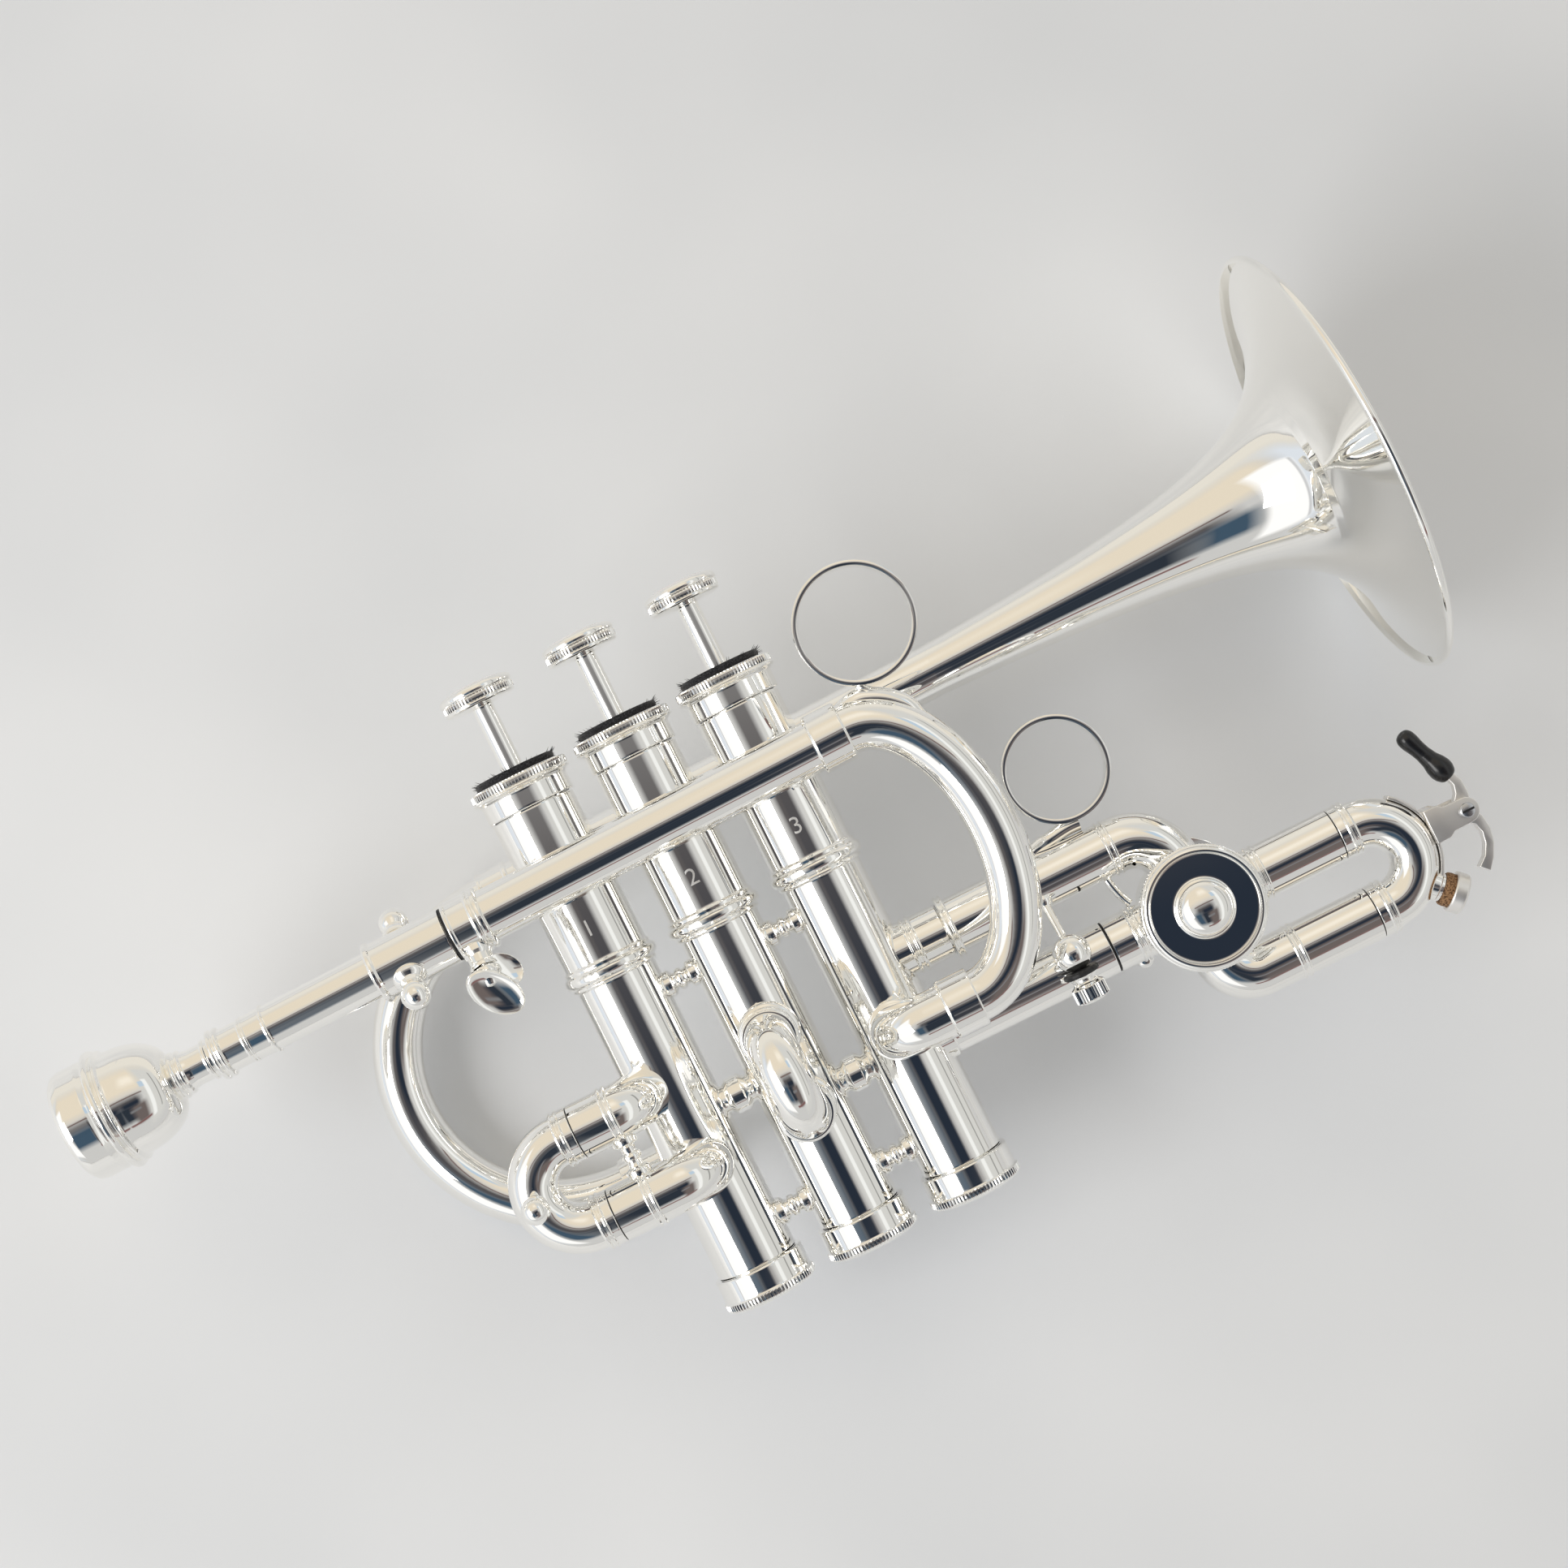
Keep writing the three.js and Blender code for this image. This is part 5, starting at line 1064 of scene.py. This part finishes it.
silver(joined(
    first_top, first_low, first_post,
    leg_rings(at(FIRST_SEAM_X + 7.4, FIRST_TOP_Y, FIRST_Z), X),
    leg_rings(at(FIRST_SEAM_X + 7.4, FIRST_LOW_Y, FIRST_Z), X),
), "first_legs")
first_middle = at(FIRST_SEAM_X - FERRULE_LENGTH, first_middle_y, FIRST_Z)
knob_foot = first_middle + at(-first_spacing / 2 * 0.98, -0.4, SLIDE_R - 0.4)
pull_ball = [(0, 0), (2.7, 0), (2.6, 0.5), (1.9, 1.0), (1.8, 1.4)] + ball(3.3, 4.3, -58, 9)
first_crook = crook(first_middle, -X, Y, first_spacing, 6.4)
silver(joined(*first_crook, turned(pull_ball, knob_foot, Z, 48)), "first_crook")
greased([
    seam(at(FIRST_SEAM_X - 0.4, y, FIRST_Z), X) for y in (FIRST_TOP_Y, FIRST_LOW_Y)
], "first_slide_seams", "first_slide")

# %% Second slide, which points straight at the viewer
SECOND_TOP_Y, SECOND_LOW_Y, SECOND_SEAM_Z = -26.3, -44.8, 18.4
second_spacing = SECOND_TOP_Y - SECOND_LOW_Y
second_middle_y = (SECOND_TOP_Y + SECOND_LOW_Y) / 2
second_parts = []
for y in (SECOND_TOP_Y, SECOND_LOW_Y):
    second_parts.append(tube(at(0, y, INTO_CASING), Z, LEG_R, [("run", SECOND_SEAM_Z - INTO_CASING)]))
    second_parts.append(turned(sleeve([
        (6.5, 0), (7.2, 0.2), (7.3, 0.7), (6.9, 1.3), (6.4, 1.6),
    ], 5.9), at(0, y, 10.0), Z))
second_parts.append(post(at(0, SECOND_TOP_Y - 6.2, 13.8), -Y, second_spacing - 12.4, 2.2, 1.2))
silver(joined(*second_parts), "second_legs")
second_middle = at(0, second_middle_y, SECOND_SEAM_Z + FERRULE_LENGTH)
silver(joined(*crook(second_middle, Z, Y, second_spacing, 7.0)), "second_crook")
greased([
    seam(at(0, y, SECOND_SEAM_Z - 0.1), Z) for y in (SECOND_TOP_Y, SECOND_LOW_Y)
], "second_slide_seams", "second_slide")

# %% Third slide: fixed legs on the casing, and the long moving tube with its elbow
THIRD_Y, THIRD_COLLAR_X, THIRD_ELBOW_X, THIRD_LOW_SEAM_X = -23.7, 46.4, 90.0, 78.4
side_x = valve_x[3] + LOWER_R
upper_leg = turned(sleeve([
    (6.5, side_x - 4), (6.5, side_x + 1.0), (6.95, side_x + 1.3), (6.95, side_x + 1.8),
    (6.45, side_x + 2.1), (6.45, side_x + 2.5), (6.95, side_x + 2.8), (6.95, side_x + 3.3),
    (6.45, side_x + 3.6), (6.4, THIRD_COLLAR_X - 0.3), (5.7, THIRD_COLLAR_X - 0.2), (5.7, 70),
], 5.1), at(0, THIRD_Y), X)
silver(upper_leg, "third_upper_leg")
lower_leg = turned(sleeve([
    (7.0, side_x - 4), (7.0, side_x + 0.8), (6.5, side_x + 1.1), (6.4, side_x + 1.4),
    (6.4, THIRD_LOW_SEAM_X - 0.15),
], 5.9), at(0, ROTARY_Y), X)
silver(lower_leg, "third_lower_leg")
elbow_r = ROTARY_X - THIRD_ELBOW_X
moving = tube(at(THIRD_COLLAR_X, THIRD_Y), X, 6.5, [
    ("run", THIRD_ELBOW_X - THIRD_COLLAR_X), ("bend", -Y, 90, elbow_r), ("run", 1.2),
])
stop_ring = turned(sleeve([
    (6.6, 0), (7.4, 0.05), (7.85, 0.35), (7.85, 0.7), (7.45, 1.0), (7.45, 1.2), (7.85, 1.5),
    (7.85, 1.85), (7.4, 2.15), (6.5, 2.2),
], 5.9), at(THIRD_COLLAR_X, THIRD_Y), X)
elbow_rings = leg_rings(at(THIRD_ELBOW_X - 2.9, THIRD_Y), X)
strut = curved_rod([
    (at(84.6, -29.2, 0), at(0.4, -2.2)), (at(87.2, -37.2, 0), at(1.6, -2.6)),
], 1.0)
silver(joined(moving, stop_ring, elbow_rings, strut), "third_slide")

# %% [markdown]
# ## Rings for the fingers
#
# Each ring is a band of flat wire soldered to a leaf-shaped saddle. The band is turned about the ring's
# own axis. The saddle is a short rod along a curve, melted into the tube that it sits on.


# %% A ring of flat wire
def finger_band(centre, radius, depth):
    outline = sleeve([(radius, -depth / 2), (radius, depth / 2)], radius - 1.3)
    return turned(outline, centre, Z, 120, soft=0.4)


ring_band = finger_band(at(57.8, 47.9, bow_start.z), 14.0, 5.0)
saddle = curved_rod([
    (at(44.2, 30.2, bow_start.z), at(3.0, 1.0)), (at(52.8, 31.7, bow_start.z), at(3.0, -1.2)),
    (at(59.0, 27.6, bow_start.z), at(2.0, -2.0)), (at(61.7, 21.0, bow_start.z), at(1.2, -2.6)),
], 2.5)
foot = turned([(0, -2.0), (2.2, -1.6), (1.5, -0.4), (1.1, 0.9), (0, 1.2)],
    at(52.6, 34.2, bow_start.z), at(-0.35, 0.93), 32)
silver(joined(ring_band, saddle, foot), "finger_ring", angle=40)
slide_band = finger_band(at(85.4, -1.9), 12.7, 5.0)
slide_saddle = curved_rod([
    (at(72.4, -16.9, -0.6), at(2.4, 1.0)), (at(78.4, -15.6, 0.0), at(2.6, 0.4)),
    (at(84.8, -15.3, -0.2), at(2.4, -0.2)),
], 1.8)
silver(joined(slide_band, slide_saddle), "slide_ring", angle=40)

# %% The slide lock: a ball on a rod, with a knurled thumb screw under it
LOCK = at(69.2, -40.2, 12.6)
rod_top = at(69.2, THIRD_Y - 4.6, 5.0)
LOCK_BALL_R = 4.4
lock_ball = turned(ball(LOCK_BALL_R, 0, -90, 16), LOCK, Y, 64, soft=0)
rod_axis = LOCK - rod_top
lock_rod = turned([
    (0, -2.2), (1.9, -1.6), (2.1, -0.4), (1.7, 0.4), (1.05, 0.9), (1.0, rod_axis.length - 4.6),
    (1.4, rod_axis.length - 4.1), (1.6, rod_axis.length - 3.4), (0, rod_axis.length - 3.4),
], rod_top, rod_axis, 32)
silver(joined(lock_ball, lock_rod), "lock_post", angle=50)
nut_outline = [
    (0, -1.3), (3.6, -1.3), (3.1, -2.0), (2.8, -2.6), (3.2, -3.2), (3.9, -3.6), (4.1, -3.8),
    (4.1, -6.9), (3.7, -7.2), (3.0, -7.3), (2.8, -7.6), (0, -7.7),
]
nut = knurled([(r, h - 4.3) for r, h in nut_outline], LOCK, Y, 34, -11.3, -8.0, 3.9, depth=0.93)
silver(nut, "lock_screw", angle=28)
washer = turned([
    (0, -4.0), (3.9, -4.2), (4.3, -4.5), (4.3, -5.2), (3.9, -5.6), (0, -5.65),
], LOCK, Y, 56)
greased([washer], "lock_washer", "lock_screw")

# %% [markdown]
# ## The rotary valve
#
# The rotary valve is a drum with a screwed cap. Its cap is a flat mirror with a raised rim and a dome,
# all turned. The fixed legs of the fourth slide leave it to the right and from below.

# %% Drum, cap and stop lever
DRUM_R = 12.0
rotary = at(ROTARY_X, ROTARY_Y)
drum = turned([
    (2.5, -14), (11.2, -14), (11.9, -13.6), (DRUM_R, -13), (DRUM_R, 8.6), (12.6, 9.0),
    (13.4, 9.6), (13.5, 10.4), (13.5, 12.0), (9.9, 12.0), (9.9, -12.2), (2.5, -12.2), (2.5, -14),
], rotary, Z, 112)
stub = turned(sleeve([
    (5.7, 64), (5.7, 78.6), (6.4, 78.8), (6.4, 84.2), (6.8, 84.45), (6.8, 84.85), (6.45, 85.1),
    (6.45, 85.5), (6.8, 85.75), (6.8, 86.15), (6.4, 86.4), (6.4, 89.6),
], 5.1), at(0, ROTARY_Y), X)
silver(joined(drum, stub), "rotary_casing")
greased([seam(at(THIRD_LOW_SEAM_X - 0.2, ROTARY_Y), X, width=0.65)], "third_slide_seam", "third_slide")
cap_outline = [
    (0, 12.3), (14.0, 12.3), (14.5, 12.6), (14.5, 14.7), (14.2, 15.0), (14.0, 15.1),
    (14.0, 15.4), (13.7, 15.9), (13.2, 16.15), (12.7, 16.1), (12.4, 15.7), (12.3, 15.3),
    (7.0, 15.3), (6.7, 15.5),
]
DOME_R, DOME_BASE = 6.6, 15.6
for step in range(1, 15):
    t = math.radians(90 * step / 14)
    cap_outline.append((DOME_R * math.cos(t), DOME_BASE + 3.9 * math.sin(t)))
cap_outline[-1] = (0, DOME_BASE + 3.9)
rotary_cap = knurled(cap_outline, rotary, Z, 120, 12.55, 14.75, 14.3, depth=0.985)
silver(rotary_cap, "rotary_cap", angle=24)
LEVER_Z = -15.5
hub = turned([
    (2.5, LEVER_Z - 1), (4.6, LEVER_Z - 1), (4.6, LEVER_Z + 1), (2.5, LEVER_Z + 1),
    (2.5, LEVER_Z - 1),
], rotary, Z, 48)
ARM_TURN = math.radians(208)
arm_end = rotary + at(math.cos(ARM_TURN), math.sin(ARM_TURN)) * 16.4
arm_path = [
    (rotary.x + math.cos(ARM_TURN) * reach, rotary.y + math.sin(ARM_TURN) * reach)
    for reach in (3.4, 8, 12, 16.4)
]
arm = plate(strip(arm_path, [4.4, 3.0, 2.8, 3.2]), LEVER_Z - 0.9, LEVER_Z + 0.9)
sector = plate(
    arc(rotary, 15.4, 38, 78, 8) + arc(rotary, 4.0, 78, 38, 4), LEVER_Z - 0.9, LEVER_Z + 0.9
)
screw_head = turned([
    (0, -2.2), (1.3, -2.2), (1.3, 0.9), (2.1, 1.1), (2.2, 1.5), (1.95, 2.1),
    (1.3, 2.55), (0.6, 2.75), (0, 2.8),
], at(arm_end.x, arm_end.y, LEVER_Z), Z, 40)
silver(joined(hub, arm, sector, screw_head), "rotor_lever", angle=35)

# %% Fourth slide
FOURTH_SEAM_X, FOURTH_KNEE_R = 136.2, 7.6
fourth_low_y = ROTARY_Y - DRUM_R - 0.3 - FOURTH_KNEE_R
top_start = ROTARY_X + DRUM_R - 2.0
fourth_upper = tube(at(top_start, ROTARY_Y), X, LEG_R, [("run", FOURTH_SEAM_X - top_start)])
silver(joined(fourth_upper, leg_rings(at(115.4, ROTARY_Y), X)), "fourth_upper_leg")
fourth_lower = tube(at(ROTARY_X, ROTARY_Y - DRUM_R + 2.0), -Y, LEG_R, [
    ("run", 2.3), ("bend", X, 90, FOURTH_KNEE_R), ("run", FOURTH_SEAM_X - ROTARY_X - FOURTH_KNEE_R),
])
silver(joined(fourth_lower, leg_rings(at(115.4, fourth_low_y), X)), "fourth_lower_leg")
fourth_spacing = ROTARY_Y - fourth_low_y
fourth_middle = at(FOURTH_SEAM_X + FERRULE_LENGTH, (ROTARY_Y + fourth_low_y) / 2)
KEY_TURN = math.radians(-44)
key_way = at(math.cos(KEY_TURN), math.sin(KEY_TURN))
crook_out = fourth_spacing / 2 + SLIDE_R
nipple = turned([
    (0, -1.6), (3.6, -1.6), (3.5, 0.3), (3.3, 0.5), (3.3, 1.3), (1.3, 1.4), (1.3, -0.5), (0, -0.5),
], fourth_middle + key_way * crook_out, key_way, 48)
silver(joined(*crook(fourth_middle, X, Y, fourth_spacing, 16), nipple), "fourth_crook")
greased([
    seam(at(FOURTH_SEAM_X - 0.1, y), X) for y in (ROTARY_Y, fourth_low_y)
], "fourth_slide_seams", "fourth_slide")

# %% [markdown]
# ## The water key
#
# The water key is a little rocker: a rubber-sleeved touch at one end, a cup with a cork at the other,
# and a pivot screw in a forked bracket that is soldered to the crook by a curved saddle strip.

# %% Bracket and saddle strip
PIVOT = at(165.3, -52.0)
saddle_path = arc(fourth_middle, crook_out + 0.35, 52, -36, 14)
saddle_strip = plate(strip(saddle_path, [0.9] * 15), -2.2, 2.2)
ears = []
ear_outline = (
    [(fourth_middle.x + crook_out - 0.4, -47.9), (159.4, -48.0), (160.8, -48.9)]
    + arc(PIVOT, 3.0, 92, -92, 10)
    + [(160.8, -55.1), (159.4, -56.0), (fourth_middle.x + crook_out - 0.4, -56.1)]
)
for low, high in ((3.0, 4.3), (-4.3, -3.0)):
    ears.append(plate(ear_outline, low, high, edge=0.2))
foot_plate = plate([
    (fourth_middle.x + crook_out - 0.5, -47.9), (158.4, -47.9), (158.4, -56.1),
    (fourth_middle.x + crook_out - 0.5, -56.1),
], -4.2, 4.2, edge=0.3)
bracket = joined(saddle_strip, foot_plate, *ears)
settle(bracket, "fine_key_bracket", nickel, "key_bracket", angle=35)
pin = turned([
    (0, -5.2), (0.9, -5.2), (0.9, 4.4), (1.75, 4.4), (1.85, 4.8), (1.6, 5.3), (0.5, 5.5), (0, 5.5),
], PIVOT, Z, 40)
# The screw's slot is not cut: a thin black bar on its head is painted shade standing in for the groove.
slot_shade_bar = plate([
    (PIVOT.x - 1.5, PIVOT.y - 0.25), (PIVOT.x + 1.5, PIVOT.y - 0.25),
    (PIVOT.x + 1.5, PIVOT.y + 0.25), (PIVOT.x - 1.5, PIVOT.y + 0.25),
], 5.35, 5.56, edge=0.03)
settle(pin, "fine_key_pivot", steel, "key_pivot", angle=35)
lay_down(slot_shade_bar, "pivot_slot_shade", grease, "fourth_slide")

# %% Lever with its cup
TOUCH_FOOT, TOUCH = at(166.2, -44.2), at(160.8, -31.5)
barrel = turned([(1.2, -2.8), (2.4, -2.8), (2.4, 2.8), (1.2, 2.8), (1.2, -2.8)], PIVOT, Z, 48)
upper_path = [(165.4, -51.0), (166.6, -48.2), (166.8, -45.6), (165.9, -43.4), (164.2, -39.6)]
upper_arm = plate(strip(upper_path, [4.4, 2.9, 2.2, 1.9, 1.7]), -1.5, 1.5)
lower_path = [
    (165.6, -53.2), (167.4, -55.6), (167.9, -58.4), (167.3, -61.4), (165.8, -64.2), (163.7, -66.3),
]
lower_arm = plate(strip(lower_path, [4.0, 2.6, 2.2, 2.1, 2.2, 2.8]), -1.6, 1.6)
cup_foot = fourth_middle + key_way * crook_out
cup = turned([
    (0, 4.2), (3.9, 4.2), (3.9, 3.6), (4.6, 3.5), (4.8, 3.8), (4.8, 6.3), (4.4, 6.8), (2.8, 7.0),
    (0, 7.1),
], cup_foot, key_way, 56)
lever = joined(barrel, upper_arm, lower_arm, cup)
settle(lever, "fine_key_lever", nickel, "key_lever", angle=35)
cork_pad = turned([
    (0, 1.35), (3.6, 1.35), (3.9, 1.7), (4.0, 2.6), (3.85, 3.7), (3.6, 4.2), (0, 4.2),
], cup_foot, key_way, 64)
settle(cork_pad, "fine_key_cork", cork, "key_cork", angle=45)
touch_way = TOUCH - TOUCH_FOOT
length = touch_way.length
rubber_sleeve = turned([
    (0, 0.2), (1.6, 0.3), (2.2, 0.8), (2.75, 2.0), (2.95, 3.2), (2.7, 4.8), (2.2, 6.4),
    (1.95, length * 0.62), (2.0, length * 0.75), (2.25, length * 0.9), (2.25, length + 0.2),
    (1.7, length + 1.3), (0.8, length + 1.75), (0, length + 1.85),
], TOUCH_FOOT, touch_way, 48, soft=0.6)
settle(rubber_sleeve, "fine_key_sleeve", rubber, "key_sleeve", angle=60)

# %% [markdown]
# ## Numbers on the casings
#
# The three casings are numbered in the order they are played. Each figure is a text object made into a
# mesh, and its corners are then laid on the round casing, so that it looks cut into the silver.

# %% Figures 1, 2 and 3
FIGURE_HEIGHT = 4.0
FIGURE_Y = 11.4
for number, x in valve_x.items():
    clear()
    bpy.ops.object.text_add(location=(0, 0, 0))
    figure = bpy.context.object
    figure.data.body = str(number)
    figure.data.size = FIGURE_HEIGHT * 1.4
    figure.data.align_x = "CENTER"
    figure.data.offset = -0.02
    figure.data.resolution_u = 8
    bpy.ops.object.convert(target="MESH")
    bpy.ops.object.mode_set(mode="EDIT")
    bpy.ops.mesh.select_all(action="SELECT")
    bpy.ops.mesh.subdivide(number_cuts=2)
    bpy.ops.object.mode_set(mode="OBJECT")
    for vertex in figure.data.vertices:
        lift = math.sqrt(UPPER_R ** 2 - vertex.co.x ** 2) + 0.03
        vertex.co = at(x + vertex.co.x, FIGURE_Y + vertex.co.y, lift)
    lay_down(figure, f"figure_{number}", frosted, body_of[f"casing_{number}"])

# %% Parts inside the instrument keep their frame shapes and take a finish
for node, finish in (("piston", nickel), ("spring", steel)):
    for number in valve_x:
        frame["nodes"][f"{node}_{number}"].material_slots[0].material = finish
frame["nodes"]["rotor"].material_slots[0].material = nickel

# %% [markdown]
# ## Finish
#
# The view is set to plain Standard colour, and nothing is left selected.

# %% The view and the end
bpy.context.scene.view_settings.view_transform = "Standard"
clear()
